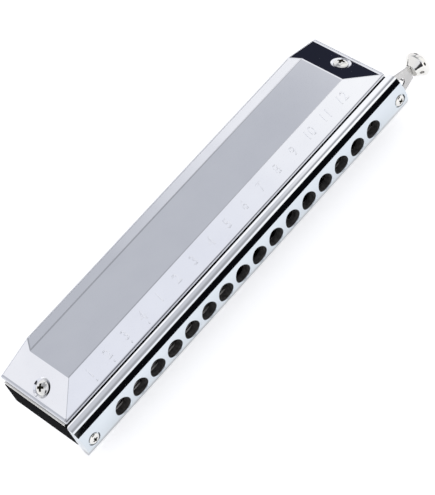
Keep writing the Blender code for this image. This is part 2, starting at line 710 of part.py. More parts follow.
def build_plate_screws():
    for level_name, level in LEVELS:
        for number, (x, y) in enumerate(PLATE_SCREW_XY, 1):
            screw = turned("plate_screw_%s_%d" % (level_name, number),
                           screw_profile(*PLATE_SCREW), PLATE_SCREW_SIDES)
            turn = (0.0 if level > 0 else math.pi, 0.0, 0.0)
            place_part(screw, STEEL, (x, y, MID + level * (PLATE_TOP_Z + GAP)), turn)


# ---------------------------------------------------------------- return spring


def spring_route():
    """Anchored leg, the coil round its pin and the free leg through the slide's slot."""
    centre = Vector((SPRING_X, SPRING_Y, 0.0))
    lowest = -SPRING_TURNS * SPRING_PITCH / 2
    route = [centre + Vector((-ANCHOR_LENGTH, SPRING_COIL_RADIUS, lowest))]
    steps = round(SPRING_TURNS * 12)
    for step in range(steps + 1):
        turn = step / 12
        angle = math.pi / 2 - 2 * math.pi * turn
        around = Vector((math.cos(angle), math.sin(angle), 0.0)) * SPRING_COIL_RADIUS
        route.append(centre + around + Vector((0.0, 0.0, lowest + turn * SPRING_PITCH)))
    top = lowest + SPRING_TURNS * SPRING_PITCH
    return route + [Vector((x, y, top * share)) for x, y, share in SPRING_LEG]


def build_spring():
    route = spring_route()
    curve = bpy.data.curves.new("return_spring", "CURVE")
    curve.dimensions = "3D"
    curve.bevel_depth = SPRING_WIRE_RADIUS
    curve.bevel_resolution = 2
    curve.use_fill_caps = True
    spline = curve.splines.new("POLY")
    spline.points.add(len(route) - 1)
    for point, place in zip(spline.points, route):
        point.co = (*place, 1.0)
    place_part(add_object("return_spring", curve, PARTS), STEEL)
    foot = SPRING_POCKET_FLOOR - SPRING_PIN_ROOT
    pin = rods("spring_pin", [((0, 0, foot), (0, 0, COMB_Z - SPRING_PIN_TOP_ROOM), SPRING_PIN_RADIUS)],
               collection=PARTS)
    place_part(pin, STEEL, (SPRING_X, SPRING_Y, MID))


# ---------------------------------------------------------------- assembly


def build():
    axis = bpy.data.objects.new("slide_axis", None)
    PARTS.objects.link(axis)
    axis.location = (0.0, sum(SLIDE_Y) / 2, MID)
    bpy.context.view_layer.update()
    build_comb()
    for level_name, level in LEVELS:
        build_reed_plate(level_name, level)
        build_cover(level_name, level)
    build_mouthpiece()
    build_sheets()
    build_slide(axis)
    build_knob(axis)
    build_mouthpiece_fasteners()
    build_cover_screws()
    build_plate_screws()
    build_spring()
    place_cutters()


build()
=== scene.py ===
"""Slide chromatic harmonica: detailed pieces, finishes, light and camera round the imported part."""
import math

import bmesh
import bpy
from mathutils import Matrix, Vector

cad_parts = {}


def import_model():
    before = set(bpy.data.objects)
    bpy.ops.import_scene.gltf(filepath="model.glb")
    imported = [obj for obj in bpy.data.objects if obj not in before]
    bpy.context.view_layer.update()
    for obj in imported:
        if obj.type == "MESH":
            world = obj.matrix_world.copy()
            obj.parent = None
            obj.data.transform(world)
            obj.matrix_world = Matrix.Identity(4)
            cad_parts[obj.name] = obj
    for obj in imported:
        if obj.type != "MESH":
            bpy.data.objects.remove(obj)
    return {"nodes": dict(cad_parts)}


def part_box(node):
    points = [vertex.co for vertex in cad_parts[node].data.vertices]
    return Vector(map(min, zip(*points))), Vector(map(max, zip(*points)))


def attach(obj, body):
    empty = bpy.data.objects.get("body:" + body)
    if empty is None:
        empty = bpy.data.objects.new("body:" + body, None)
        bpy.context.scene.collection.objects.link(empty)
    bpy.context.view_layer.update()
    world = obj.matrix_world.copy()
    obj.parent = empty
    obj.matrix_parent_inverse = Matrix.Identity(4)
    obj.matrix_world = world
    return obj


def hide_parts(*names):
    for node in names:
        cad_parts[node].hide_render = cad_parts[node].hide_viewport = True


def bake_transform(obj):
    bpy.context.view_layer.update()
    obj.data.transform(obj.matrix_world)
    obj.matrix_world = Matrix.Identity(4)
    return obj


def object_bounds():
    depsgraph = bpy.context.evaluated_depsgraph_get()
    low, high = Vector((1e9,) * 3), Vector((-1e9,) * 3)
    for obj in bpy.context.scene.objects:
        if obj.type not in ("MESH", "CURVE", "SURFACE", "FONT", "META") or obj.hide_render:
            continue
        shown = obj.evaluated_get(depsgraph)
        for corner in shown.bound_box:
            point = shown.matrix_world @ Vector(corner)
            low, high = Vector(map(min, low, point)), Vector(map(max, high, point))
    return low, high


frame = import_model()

CAD_LOW, CAD_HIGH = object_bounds()

# ---------------------------------------------------------------- layout, in metres
# Heights marked "from the middle" are measured from the plane of symmetry at MIDDLE_Z.

COMB_LOW, COMB_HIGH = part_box("comb")
MOUTH_LOW, MOUTH_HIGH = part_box("mouthpiece")
KNOB_LOW, KNOB_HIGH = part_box("knob")
SLIDE_LOW, SLIDE_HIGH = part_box("slide")
FLOOR_Z = CAD_LOW.z
MIDDLE_Z = (MOUTH_LOW.z + MOUTH_HIGH.z) / 2
AT_MIDDLE = Matrix.Translation((0.0, 0.0, MIDDLE_Z))

HOLES = 16
HOLE_PITCH = 0.0094
HOLE_RADIUS = 0.0036
HOLE_ROUND = 0.00065
HOLE_X = [(index - (HOLES - 1) / 2) * HOLE_PITCH for index in range(HOLES)]

# Mouthpiece section, from the middle: crowned face, round shoulders, flat top
FACE_Y = MOUTH_LOW.y - 0.00013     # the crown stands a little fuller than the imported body
MOUTH_BACK_Y = MOUTH_HIGH.y - 0.00025
FACE_RADIUS = 0.01248
FACE_SPREAD = 38.5
SHOULDER_RADIUS = 0.0011
BAND_RADIUS = 0.0220                # the top and bottom are slightly crowned
BAND_FRONT_TILT = 5.0
PAINTED_SHADE_EDGE_Z = (-0.0028, -0.0058)    # painted shade: where the plating is painted darker towards the lower edge, in place of the shaded floor it reflects
PAINTED_HIGHLIGHT_BAND_Z = (0.0077, 0.0080)     # painted highlight: where the top band begins to be painted brighter
END_ROUND = 0.00045
REAR_CORNER = 0.0013
RECESS_Y = -0.0230
RECESS_Z = 0.0062
RECESS_LEFT_X = -0.0899
MOUTHPIECE_SCREW_X = 0.0861
MOUTHPIECE_SEAT_RADIUS = 0.0028
MOUTHPIECE_SEAT_Y = -0.0264
PLAN_HALF = 0.012                   # half height of the cutter that shapes the plan

# Cover, from the middle
FLANGE_X = 0.0893
BASE_X = 0.0882
PANEL_X = 0.0764
FLANGE_FRONT_Y = -0.0191
FLANGE_TILT = 19.0                 # degrees the front flange leans outward
BASE_FRONT_Y = -0.0178
PANEL_FRONT_Y = -0.01055
PANEL_BACK_Y = 0.01055
LIP_Y = 0.0144
BASE_BACK_Y = 0.0173
BACK_ROUND = 0.0009
FLANGE_Z = 0.0078
PANEL_Z = 0.0138
LIP_RISE = 0.0015
COVER_THICKNESS = 0.0005
END_SLOPE = (PANEL_Z - FLANGE_Z) / (BASE_X - PANEL_X)
END_ANGLE = math.atan(END_SLOPE)
LIP_X = PANEL_X - LIP_RISE / END_SLOPE
CREASE = 0.00040
COVER_SCREW_X = 0.0842
COVER_SCREW_Y = -0.0017
DISH_PROFILE = ((0.00395, 0.00003), (0.00386, 0.00010), (0.00352, 0.00036), (0.00320, 0.00060),
                (0.00305, 0.00068), (0.00280, 0.00070), (0.00140, 0.00070))
DISH_RADIUS = 0.0040               # stays on the slope, inside its rounded edges
DISH_DEPTH = DISH_PROFILE[-1][1]
HEM_RADIUS = 0.00032
BEAD_RADIUS = 0.0003
BEAD_DROP = 0.0001                 # the bead's centre below the flange's surface
BEAD_END = 0.0006                  # the bead stops short of the rear corner
HEM_FOOT = 0.0006                  # the hem starts this far up the end slope
NUMBER_SIZE = 0.0054
NUMBER_HEIGHT = 0.00003
NUMBER_ROUND = 0.00014             # the strokes are rounded ridges
NUMBER_SHIFT = 0.0004
LOW_OCTAVE = 4                     # holes marked with a dot
DOT_DROP = 0.0033
DOT_PROFILE = ((0.0, 0.00017), (0.00026, 0.00015), (0.00038, 0.00006), (0.00042, -0.0001),
               (0.0, -0.0001))

# Reed plates and reeds, from the middle
PLATE_ENDS = (-0.0900, 0.0892)
PLATE_FRONT_Y = -0.0182
PLATE_BACK_Y = 0.0149
PLATE_BOTTOM_Z = 0.0061
PLATE_TOP_Z = 0.0070
PLATE_SCREWS = ((-0.072, 0.0124), (-0.036, 0.0124), (0.0, 0.0124), (0.036, 0.0124),
                (0.072, 0.0124), (-0.0815, -0.0145), (0.0785, -0.0145))
BOSS_RADIUS = 0.0035
SCREW_BORE_RADIUS = 0.0013
REED_LONGEST = 0.0215
REED_SHORTEST = 0.0105
REED_WIDTH = 0.0016
REED_PAD = 0.0030
RIVET_PROFILE = ((0.0, 0.00062), (0.00030, 0.00058), (0.00052, 0.00047), (0.00062, 0.00032),
                 (0.00064, 0.00026), (0.0, 0.00026))
SLOT_WIDTH = 0.0022
SLOT_FRONT_Y = -0.0160
GAP = 0.0003

# Comb, from the middle
CELL_WIDTH = 0.0034
CELL_FLOOR_Z = 0.0006
CELL_FRONT_Y = -0.0176
CELL_BACK_ROOM = 0.0006
THROAT_TOP_Z = 0.0049
COMB_Z = 0.0058
COMB_ROUND = 0.00025
COVER_BORE_DEPTH = 0.0085
PLATE_BORE_END_Z = 0.0012
PIN_BORE_RADIUS = 0.0014
PIN_BORE_DEPTH = 0.0025
INSERT_RADIUS = 0.0021
INSERT_BACK_Y = -0.0146
POCKET_RADIUS = 0.0031
POCKET_FLOOR_Z = -0.0019
CHANNEL_X = 0.0885
CHANNEL_TOP_Z = 0.0021
ANCHOR_SLOT_X = 0.0800
BEYOND = 0.0005                    # how far a cutter runs past the face it opens
PAST_PLATE = 0.001                 # the same for the plates and for the mouthpiece's bores
PAST_BAR = 0.002                   # and for the outside of the mouthpiece

# Knob, in parts of its radius and its length
KNOB_PROFILE = (
    (0.0, 1.0), (0.30, 0.997), (0.50, 0.975), (0.585, 0.955), (0.64, 0.925), (0.68, 0.895),
    (0.90, 0.735), (0.935, 0.70), (0.965, 0.655), (0.985, 0.61), (0.998, 0.56), (1.0, 0.53),
    (1.0, 0.485), (0.992, 0.45), (0.972, 0.415), (0.945, 0.385), (0.62, 0.105), (0.57, 0.06),
    (0.535, 0.02), (0.50, 0.0), (0.0, 0.0))
TONGUE_HALF = 0.0018               # half width of the slit for the slide's tongue

# Return spring
SPRING_X = 0.0866
SPRING_Y = -0.0085
SPRING_COIL_RADIUS = 0.0023
SPRING_WIRE_RADIUS = 0.0004
SPRING_TURNS = 2.25
SPRING_PITCH = 0.0010
SPRING_TIP_X = 0.0944

# Screws: head radius, head height, shank length, reach of the cross recess, roundness of the head
PAN_SCREW = (0.0028, 0.0016, 0.0078, 0.0019, 0.62)
OVAL_SCREW = (0.00225, 0.0010, 0.0125, 0.0014, 0.8)
SMALL_SCREW = (0.0018, 0.0009, 0.0050, 0.0011, 0.62)
THREAD_PITCH = 0.0005
CROSS_WIDTH = 0.56                 # of the recess's reach
CROSS_DEPTH = 0.85                 # of the head's height

SIDES = (("left", -1), ("right", 1))
LEVELS = (("upper", 1), ("lower", -1))

# ---------------------------------------------------------------- mesh helpers


def add_object(name, mesh):
    item = bpy.data.objects.new(name, mesh)
    bpy.context.scene.collection.objects.link(item)
    return item


def store(name, shape, recalculate=True):
    """Turn a bmesh into a new object."""
    if recalculate:
        bmesh.ops.recalc_face_normals(shape, faces=shape.faces)
    mesh = bpy.data.meshes.new(name)
    shape.to_mesh(mesh)
    shape.free()
    return add_object(name, mesh)


def settle(item):
    """Replace an object's mesh with the result of its modifiers."""
    bpy.context.view_layer.update()
    evaluated = item.evaluated_get(bpy.context.evaluated_depsgraph_get())
    mesh = bpy.data.meshes.new_from_object(evaluated)
    old = item.data
    item.modifiers.clear()
    if item.type == "MESH":
        item.data = mesh
        bpy.data.meshes.remove(old)
        return item
    made = add_object(item.name + "_mesh", mesh)
    made.matrix_world = item.matrix_world
    name = item.name
    bpy.data.objects.remove(item, do_unlink=True)
    made.name = name
    return made


def bake_place(item):
    """Move an object's location and rotation into its mesh."""
    bpy.context.view_layer.update()
    item.data.transform(item.matrix_world)
    item.matrix_world = Matrix.Identity(4)
    return item


def combine(item, tool, operation="DIFFERENCE"):
    """Apply one exact Boolean and remove the tool."""
    modifier = item.modifiers.new("combine", "BOOLEAN")
    modifier.operation = operation
    modifier.solver = "EXACT"
    modifier.object = tool
    settle(item)
    bpy.data.objects.remove(tool, do_unlink=True)
    return item


def merge(name, items):
    """Join several objects into one mesh."""
    shape = bmesh.new()
    coats = list(items[0].data.materials)
    for item in items:
        bake_place(item)
        shape.from_mesh(item.data)
        bpy.data.objects.remove(item, do_unlink=True)
    mesh = bpy.data.meshes.new(name)
    for material in coats:
        mesh.materials.append(material)
    shape.to_mesh(mesh)
    shape.free()
    return add_object(name, mesh)


def bevel(item, width, segments=2, angle=30.0):
    modifier = item.modifiers.new("bevel", "BEVEL")
    modifier.width = width
    modifier.segments = segments
    modifier.limit_method = "ANGLE"
    modifier.angle_limit = math.radians(angle)
    modifier.miter_outer = "MITER_ARC"
    return settle(item)


def smooth(item, angle=35.0, weighted=False):
    """Smooth shading that keeps edges sharper than the angle."""
    item.data.shade_smooth()
    item.data.set_sharp_from_angle(angle=math.radians(angle))
    if weighted:
        modifier = item.modifiers.new("normals", "WEIGHTED_NORMAL")
        modifier.keep_sharp = True
        modifier.weight = 60
    return item


def boxes(name, limits):
    shape = bmesh.new()
    for spans in limits:
        centre = Vector([(low + high) / 2 for low, high in spans])
        size = [high - low for low, high in spans]
        bmesh.ops.create_cube(shape, size=1.0,
                              matrix=Matrix.Translation(centre) @ Matrix.Diagonal((*size, 1.0)))
    return store(name, shape)


def rod(name, start, end, radius, sides=32):
    shape = bmesh.new()
    start, end = Vector(start), Vector(end)
    turn = (end - start).to_track_quat("Z", "Y").to_matrix().to_4x4()
    bmesh.ops.create_cone(shape, cap_ends=True, segments=sides, radius1=radius, radius2=radius,
                          depth=(end - start).length,
                          matrix=Matrix.Translation((start + end) / 2) @ turn)
    return store(name, shape)


def upright_rod(name, x, y, start, end, radius, sides=32):
    return rod(name, (x, y, start), (x, y, end), radius, sides)


def arc(centre, radius, start, end, steps):
    """Points on an arc, angles in degrees, both ends included."""
    points = []
    for step in range(steps + 1):
        angle = math.radians(start + (end - start) * step / steps)
        points.append((centre[0] + radius * math.cos(angle), centre[1] + radius * math.sin(angle)))
    return points


def lathe(name, profile, steps=48):
    """Closed solid of revolution about local Z from (radius, height) points, ends on the axis."""
    shape = bmesh.new()
    rings = []
    for radius, height in profile:
        if radius == 0.0:
            rings.append([shape.verts.new((0.0, 0.0, height))])
            continue
        angles = [2 * math.pi * step / steps for step in range(steps)]
        rings.append([shape.verts.new((radius * math.cos(angle), radius * math.sin(angle), height))
                      for angle in angles])
    for first, second in zip(rings, rings[1:]):
        for step in range(steps):
            following = (step + 1) % steps
            corners = [first[step % len(first)], first[following % len(first)],
                       second[following % len(second)], second[step % len(second)]]
            shape.faces.new(list(dict.fromkeys(corners)))
    return store(name, shape)


def wall(shape, first, second):
    """Quads between two closed rings with the same number of corners."""
    faces = []
    for step in range(len(first)):
        ahead = (step + 1) % len(first)
        faces.append(shape.faces.new((first[step], first[ahead], second[ahead], second[step])))
    return faces


def prism(name, outline, start, end, place):
    """Solid with a flat outline, from start to end along its thickness, placed by a matrix."""
    shape = bmesh.new()
    low, high = ([shape.verts.new(place @ Vector((across, up, depth))) for across, up in outline]
                 for depth in (start, end))
    shape.faces.new(low)
    shape.faces.new(high)
    wall(shape, low, high)
    return store(name, shape)


def coat(item, first, second, chosen=None):
    """Give a mesh two materials; chosen puts every face on one of them."""
    item.data.materials.append(first)
    item.data.materials.append(second)
    if chosen is not None:
        for face in item.data.polygons:
            face.material_index = chosen
    return item


# An outline in Y and Z with its thickness along X
ALONG_X = Matrix(((0, 0, 1, 0), (1, 0, 0, 0), (0, 1, 0, 0), (0, 0, 0, 1)))


def rounded_route(points, radius, steps=5):
    """Polyline whose inner corners are replaced by short curves."""
    route = [Vector(points[0])]
    for before, corner, after in zip(points, points[1:], points[2:]):
        before, corner, after = Vector(before), Vector(corner), Vector(after)
        back = (before - corner).normalized() * radius
        ahead = (after - corner).normalized() * radius
        for step in range(steps + 1):
            t = step / steps
            route.append((corner + back) * (1 - t) ** 2 + corner * 2 * t * (1 - t)
                         + (corner + ahead) * t ** 2)
    route.append(Vector(points[-1]))
    return route


def tube(name, route, radius, resolution=3):
    """Round tube along a polyline, closed at both ends."""
    curve = bpy.data.curves.new(name, "CURVE")
    curve.dimensions = "3D"
    curve.bevel_depth = radius
    curve.bevel_resolution = resolution
    curve.use_fill_caps = True
    spline = curve.splines.new("POLY")
    spline.points.add(len(route) - 1)
    for point, place in zip(spline.points, route):
        point.co = (*place, 1.0)
    item = settle(add_object(name, curve))
    shape = bmesh.new()
    shape.from_mesh(item.data)
    bmesh.ops.remove_doubles(shape, verts=shape.verts, dist=0.000005)
    shape.to_mesh(item.data)
    shape.free()
    return item


def refined(name, node, width, segments=2, angle=40.0):
    """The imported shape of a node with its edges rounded."""
    shape = bmesh.new()
    shape.from_mesh(frame["nodes"][node].data)
    bmesh.ops.remove_doubles(shape, verts=shape.verts, dist=0.000002)
    bmesh.ops.dissolve_limit(shape, angle_limit=math.radians(1.0), verts=shape.verts,
                             edges=shape.edges)
    item = store(name, shape)
    bevel(item, width, segments, angle)
    return smooth(item, weighted=True)


# ---------------------------------------------------------------- finishes


class Nodes:
    """Adds and links the nodes of one tree."""

    def __init__(self, tree):
        self.tree = tree

    def node(self, kind, inputs=None, **settings):
        made = self.tree.nodes.new(kind)
        for key, value in settings.items():
            setattr(made, key, value)
        for key, value in (inputs or {}).items():
            self.feed(made.inputs[key], value)
        return made

    def feed(self, socket, value):
        if isinstance(value, bpy.types.NodeSocket):
            self.tree.links.new(value, socket)
        else:
            socket.default_value = (*value, 1.0) if socket.type == "RGBA" else value

    def ranged(self, value, low, high, to_low=0.0, to_high=1.0, **settings):
        made = self.node("ShaderNodeMapRange", {"Value": value, "From Min": low, "From Max": high,
                                                "To Min": to_low, "To Max": to_high}, **settings)
        return made.outputs["Result"]

    def mix(self, factor, first, second):
        made = self.node("ShaderNodeMix", {0: factor, 6: first, 7: second}, data_type="RGBA")
        return made.outputs[2]

    def maths(self, operation, first, second):
        made = self.node("ShaderNodeMath", {0: first, 1: second}, operation=operation)
        return made.outputs[0]


class Finish(Nodes):
    """A procedural material round one Principled shader."""

    def __init__(self, name):
        self.material = bpy.data.materials.new(name)
        self.material.use_nodes = True
        super().__init__(self.material.node_tree)
        self.shader = self.tree.nodes["Principled BSDF"]
        self.place = self.node("ShaderNodeTexCoord").outputs["Object"]

    def noise(self, scale, detail=3.0, stretch=(1.0, 1.0, 1.0), roughness=0.5):
        mapping = self.node("ShaderNodeMapping", {"Vector": self.place, "Scale": stretch})
        made = self.node("ShaderNodeTexNoise", {"Vector": mapping.outputs[0], "Scale": scale,
                                                "Detail": detail, "Roughness": roughness})
        return made.outputs["Fac"]

    def shades(self, value, low, high, first, second):
        """A colour that turns from the first into the second as a value runs from low to high."""
        return self.mix(self.ranged(value, low, high), first, second)

    def bump(self, height, distance):
        made = self.node("ShaderNodeBump", {"Height": height, "Distance": distance})
        self.feed(self.shader.inputs["Normal"], made.outputs["Normal"])

    def look(self, **sockets):
        for key, value in sockets.items():
            self.feed(self.shader.inputs[key.replace("_", " ")], value)
        return self.material


def polished_metal(name, bright, dull, rough_low, rough_high, scratch, painted_light_zones=()):
    """Plated metal: faint cloudy smudges, hairline scratches and a slight change of tone.

    Each painted light zone is two heights from the middle and the tone painted onto the plating from
    the first to the second of them: painted shade or a painted highlight by height.
    """
    finish = Finish(name)
    cloud = finish.noise(70.0, 4.0)
    smudge = finish.noise(420.0, 5.0, (1.0, 0.6, 1.0), 0.62)
    hairline = finish.noise(900.0, 2.0, (0.06, 2.2, 2.2), 0.7)
    colour = finish.shades(cloud, 0.35, 0.72, bright, dull)
    for (start, end), painted_tone in painted_light_zones:
        height = finish.node("ShaderNodeSeparateXYZ", {0: finish.place}).outputs["Z"]
        colour = finish.shades(height, MIDDLE_Z + start, MIDDLE_Z + end, colour, painted_tone)
    rough = finish.ranged(finish.maths("ADD", cloud, smudge), 0.8, 1.25, rough_low, rough_high)
    finish.bump(hairline, scratch)
    return finish.look(Base_Color=colour, Metallic=1.0, Roughness=rough)


def satin_metal():
    """Rolled sheet steel with a fine grain along its length."""
    finish = Finish("satin_steel")
    grain = finish.noise(2600.0, 3.0, (0.03, 1.0, 1.0), 0.7)
    cloud = finish.noise(160.0, 4.0)
    colour = finish.shades(cloud, 0.3, 0.7, (0.60, 0.59, 0.575), (0.50, 0.495, 0.49))
    rough = finish.ranged(finish.maths("ADD", grain, cloud), 0.7, 1.3, 0.20, 0.36)
    finish.bump(grain, 0.000006)
    return finish.look(Base_Color=colour, Metallic=1.0, Roughness=rough)


def ground_metal(name, bright, tarnish, stretch):
    """Ground brass or nickel with a fine grain and patches of light tarnish."""
    finish = Finish(name)
    grain = finish.noise(3000.0, 3.0, stretch, 0.65)
    patch = finish.noise(140.0, 6.0, roughness=0.6)
    colour = finish.shades(patch, 0.42, 0.72, bright, tarnish)
    rough = finish.ranged(finish.maths("ADD", grain, patch), 0.7, 1.3, 0.18, 0.42)
    finish.bump(grain, 0.000008)
    return finish.look(Base_Color=colour, Metallic=1.0, Roughness=rough)


def moulded_plastic(name, light, dark):
    """Black moulded comb with a fine texture and a few dull patches, matt from every side."""
    finish = Finish(name)
    pores = finish.noise(3500.0, 4.0)
    cloud = finish.noise(150.0, 4.0)
    colour = finish.shades(cloud, 0.3, 0.75, light, dark)
    rough = finish.ranged(cloud, 0.3, 0.7, 0.42, 0.55)
    finish.bump(pores, 0.000012)
    return finish.look(Base_Color=colour, Roughness=rough, Specular_IOR_Level=0.0)


def dark_recess(name, light, dark):
    """Painted shade for the inside of a bore or a driver recess: a dark, nearly matt colour in place
    of the shade that falls inside it.
    """
    finish = Finish(name)
    cloud = finish.noise(800.0, 4.0)
    colour = finish.shades(cloud, 0.3, 0.7, light, dark)
    rough = finish.ranged(cloud, 0.3, 0.7, 0.40, 0.60)
    finish.bump(cloud, 0.000006)
    return finish.look(Base_Color=colour, Roughness=rough, Specular_IOR_Level=0.03)


def soft_film(name, light, dark, roughness):
    """Silicone or plastic film with a slightly cloudy tone."""
    finish = Finish(name)
    cloud = finish.noise(600.0, 5.0)
    fine = finish.noise(4200.0, 2.0)
    colour = finish.shades(cloud, 0.3, 0.7, light, dark)
    rough = finish.ranged(cloud, 0.3, 0.7, roughness - 0.08, roughness + 0.08)
    finish.bump(fine, 0.000006)
    return finish.look(Base_Color=colour, Roughness=rough)


# painted shade: the dark tint painted on the mouthpiece's plating towards its lower edge
PAINTED_SHADE_TINT = (0.190, 0.203, 0.216)
# painted highlight: the brighter tint painted on the mouthpiece's top band
PAINTED_HIGHLIGHT_TINT = (0.920, 0.930, 0.945)
COVER_CHROME = polished_metal("cover_chrome", (0.80, 0.81, 0.84), (0.77, 0.78, 0.815),
                              0.025, 0.06, 1.5e-7)
# The mouthpiece's plating is painted darker towards its lower edge and brighter on its top band.
MOUTH_CHROME = polished_metal("mouthpiece_chrome", (0.645, 0.69, 0.73), (0.62, 0.668, 0.71),
                              0.02, 0.05, 1e-7,
                              ((PAINTED_SHADE_EDGE_Z, PAINTED_SHADE_TINT), (PAINTED_HIGHLIGHT_BAND_Z, PAINTED_HIGHLIGHT_TINT)))
SCREW_PLATE = polished_metal("screw_plating", (0.78, 0.775, 0.75), (0.70, 0.695, 0.665),
                             0.08, 0.16, 4e-7)
KNOB_PLATE = polished_metal("knob_plating", (0.82, 0.81, 0.78), (0.76, 0.75, 0.71),
                            0.04, 0.08, 2e-7)
STEEL = satin_metal()
NICKEL = ground_metal("nickel_reed_plate", (0.80, 0.79, 0.76), (0.68, 0.66, 0.62),
                      (0.04, 1.0, 1.0))
BRASS = ground_metal("insert_brass", (0.76, 0.58, 0.28), (0.58, 0.41, 0.19), (1.0, 1.0, 0.2))
BORE_PAINTED_SHADE = dark_recess("bore_dark", (0.085, 0.083, 0.080), (0.035, 0.034, 0.034))
RECESS_PAINTED_SHADE = dark_recess("recess_painted_shade", (0.045, 0.043, 0.030), (0.020, 0.019, 0.014))
REED_BRASS = ground_metal("reed_brass", (0.86, 0.70, 0.38), (0.72, 0.54, 0.26),
                          (1.0, 0.05, 1.0))
PLASTIC = moulded_plastic("comb_plastic", (0.0120, 0.0120, 0.0130), (0.0180, 0.0180, 0.0192))
SILICONE = soft_film("silicone", (0.74, 0.74, 0.71), (0.64, 0.64, 0.60), 0.5)
VALVE_FILM = soft_film("valve_film", (0.80, 0.79, 0.74), (0.70, 0.69, 0.63), 0.4)


def finished(item, material, body, slot, *nodes):
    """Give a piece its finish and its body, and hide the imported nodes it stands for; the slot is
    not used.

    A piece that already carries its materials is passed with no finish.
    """
    if material is not None:
        item.data.materials.clear()
        item.data.materials.append(material)
    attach(item, body)
    if nodes:
        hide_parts(*nodes)
    return item


# ---------------------------------------------------------------- covers


def slope_face(shape, normal):
    """The largest face that looks along a direction."""
    facing = [face for face in shape.faces if face.normal.dot(normal) > 0.999]
    return max(facing, key=lambda face: face.calc_area())


def cover_screw_axis(side, level=1):
    """Where a cover screw meets the end slope, and the slope's outward direction."""
    height = FLANGE_Z + (BASE_X - COVER_SCREW_X) * END_SLOPE
    origin = Vector((side * COVER_SCREW_X, COVER_SCREW_Y, level * height))
    outward = Vector((side * math.sin(END_ANGLE), 0.0, level * math.cos(END_ANGLE)))
    return origin, outward


def dish_seat(shape, side):
    """Sink a round dish for the screw's head into the end slope."""
    origin, outward = cover_screw_axis(side)
    slope = slope_face(shape, outward)
    border = list(slope.edges)
    bmesh.ops.delete(shape, geom=[slope], context="FACES_ONLY")
    uphill = Vector((-side * math.cos(END_ANGLE), 0.0, math.sin(END_ANGLE)))
    across = outward.cross(uphill)
    steps = 64

    def ring(radius, depth):
        made = []
        for step in range(steps):
            angle = 2 * math.pi * step / steps
            around = uphill * math.cos(angle) + across * math.sin(angle)
            made.append(shape.verts.new(origin + around * radius - outward * depth))
        return made

    outer = ring(DISH_RADIUS, 0.0)
    rim = [shape.edges.new((outer[step], outer[(step + 1) % steps])) for step in range(steps)]
    bmesh.ops.triangle_fill(shape, edges=border + rim, use_beauty=True, normal=outward)
    last = outer
    for radius, depth in DISH_PROFILE:
        following = ring(radius, depth)
        wall(shape, last, following)
        last = following


def flange_height(y):
    """Height of the base flange, which leans outward in front of the slope."""
    return FLANGE_Z - max(0.0, BASE_FRONT_Y - y) * math.tan(math.radians(FLANGE_TILT))


def face_up(shape):
    """Turn the normals of an open sheet upwards."""
    bmesh.ops.recalc_face_normals(shape, faces=shape.faces)
    if sum((face.normal * face.calc_area() for face in shape.faces), Vector()).z < 0:
        bmesh.ops.reverse_faces(shape, faces=shape.faces)


def cover_sheet(name):
    """A cover's panel, three slopes, rising back lip and base flange, as a sheet."""
    shape = bmesh.new()

    def row(places, z):
        return [shape.verts.new((x, y, z)) for x, y in places]

    def rectangle(half, front, back, z):
        return row(((-half, front), (half, front), (half, back), (-half, back)), z)

    panel = rectangle(PANEL_X, PANEL_FRONT_Y, PANEL_BACK_Y, PANEL_Z)
    base = rectangle(BASE_X, BASE_FRONT_Y, BASE_BACK_Y, FLANGE_Z)
    lip = row(((LIP_X, LIP_Y), (-LIP_X, LIP_Y)), PANEL_Z + LIP_RISE)
    front_round = BASE_FRONT_Y - FLANGE_FRONT_Y
    corner = arc((FLANGE_X - front_round, FLANGE_FRONT_Y + front_round), front_round, -90, 0, 5)
    rear = arc((FLANGE_X - BACK_ROUND, BASE_BACK_Y - BACK_ROUND), BACK_ROUND, 0, 80, 4)
    right_front = [shape.verts.new((x, y, flange_height(y))) for x, y in corner]
    left_front = [shape.verts.new((-x, y, flange_height(y))) for x, y in reversed(corner)]
    right_rear = row(rear, FLANGE_Z)
    left_rear = row([(-x, y) for x, y in reversed(rear)], FLANGE_Z)
    shape.faces.new(panel)
    shape.faces.new((base[0], base[1], panel[1], panel[0]))
    shape.faces.new((base[1], base[2], lip[0], panel[2], panel[1]))
    shape.faces.new((base[3], base[0], panel[0], panel[3], lip[1]))
    shape.faces.new((panel[3], panel[2], lip[0], lip[1]))
    shape.faces.new([base[0]] + left_front + right_front + [base[1]])
    shape.faces.new([base[1], right_front[-1]] + right_rear + [base[2]])
    shape.faces.new([base[3]] + left_rear + [left_front[0], base[0]])
    face_up(shape)
    creases = [edge for edge in shape.edges if len(edge.link_faces) == 2]
    bmesh.ops.bevel(shape, geom=creases, offset=CREASE, offset_type="OFFSET", segments=4,
                    profile=0.5, affect="EDGES", miter_outer="SHARP", clamp_overlap=True)
    for _, side in SIDES:
        dish_seat(shape, side)
    face_up(shape)
    item = store(name, shape, recalculate=False)
    sheet = item.modifiers.new("sheet", "SOLIDIFY")
    sheet.thickness = COVER_THICKNESS
    sheet.offset = -1.0
    sheet.use_even_offset = True
    return settle(item)


def back_hem(name):
    """Edge rolled over along the open back of the cover."""
    drop = COVER_THICKNESS / 2
    foot = (BASE_X - HEM_FOOT, BASE_BACK_Y - 0.0002, FLANGE_Z + HEM_FOOT * END_SLOPE - drop)
    top = (LIP_X, LIP_Y - 0.0001, PANEL_Z + LIP_RISE - drop)
    route = rounded_route([(-foot[0], *foot[1:]), (-top[0], *top[1:]), top, foot], 0.0012)
    return tube(name, route, HEM_RADIUS, 4)


def flange_bead(name):
    """Rolled bead round the ends and the front of the base flange."""
    x = FLANGE_X - BEAD_RADIUS
    y = FLANGE_FRONT_Y + BEAD_RADIUS
    side_z = FLANGE_Z - BEAD_DROP
    half = [(x, y, flange_height(y) - BEAD_DROP), (x, BASE_FRONT_Y, side_z),
            (x, BASE_BACK_Y - BEAD_END, side_z)]
    route = rounded_route([(-a, b, c) for a, b, c in reversed(half)] + half, 0.0004, 8)
    return tube(name, route, BEAD_RADIUS, 4)


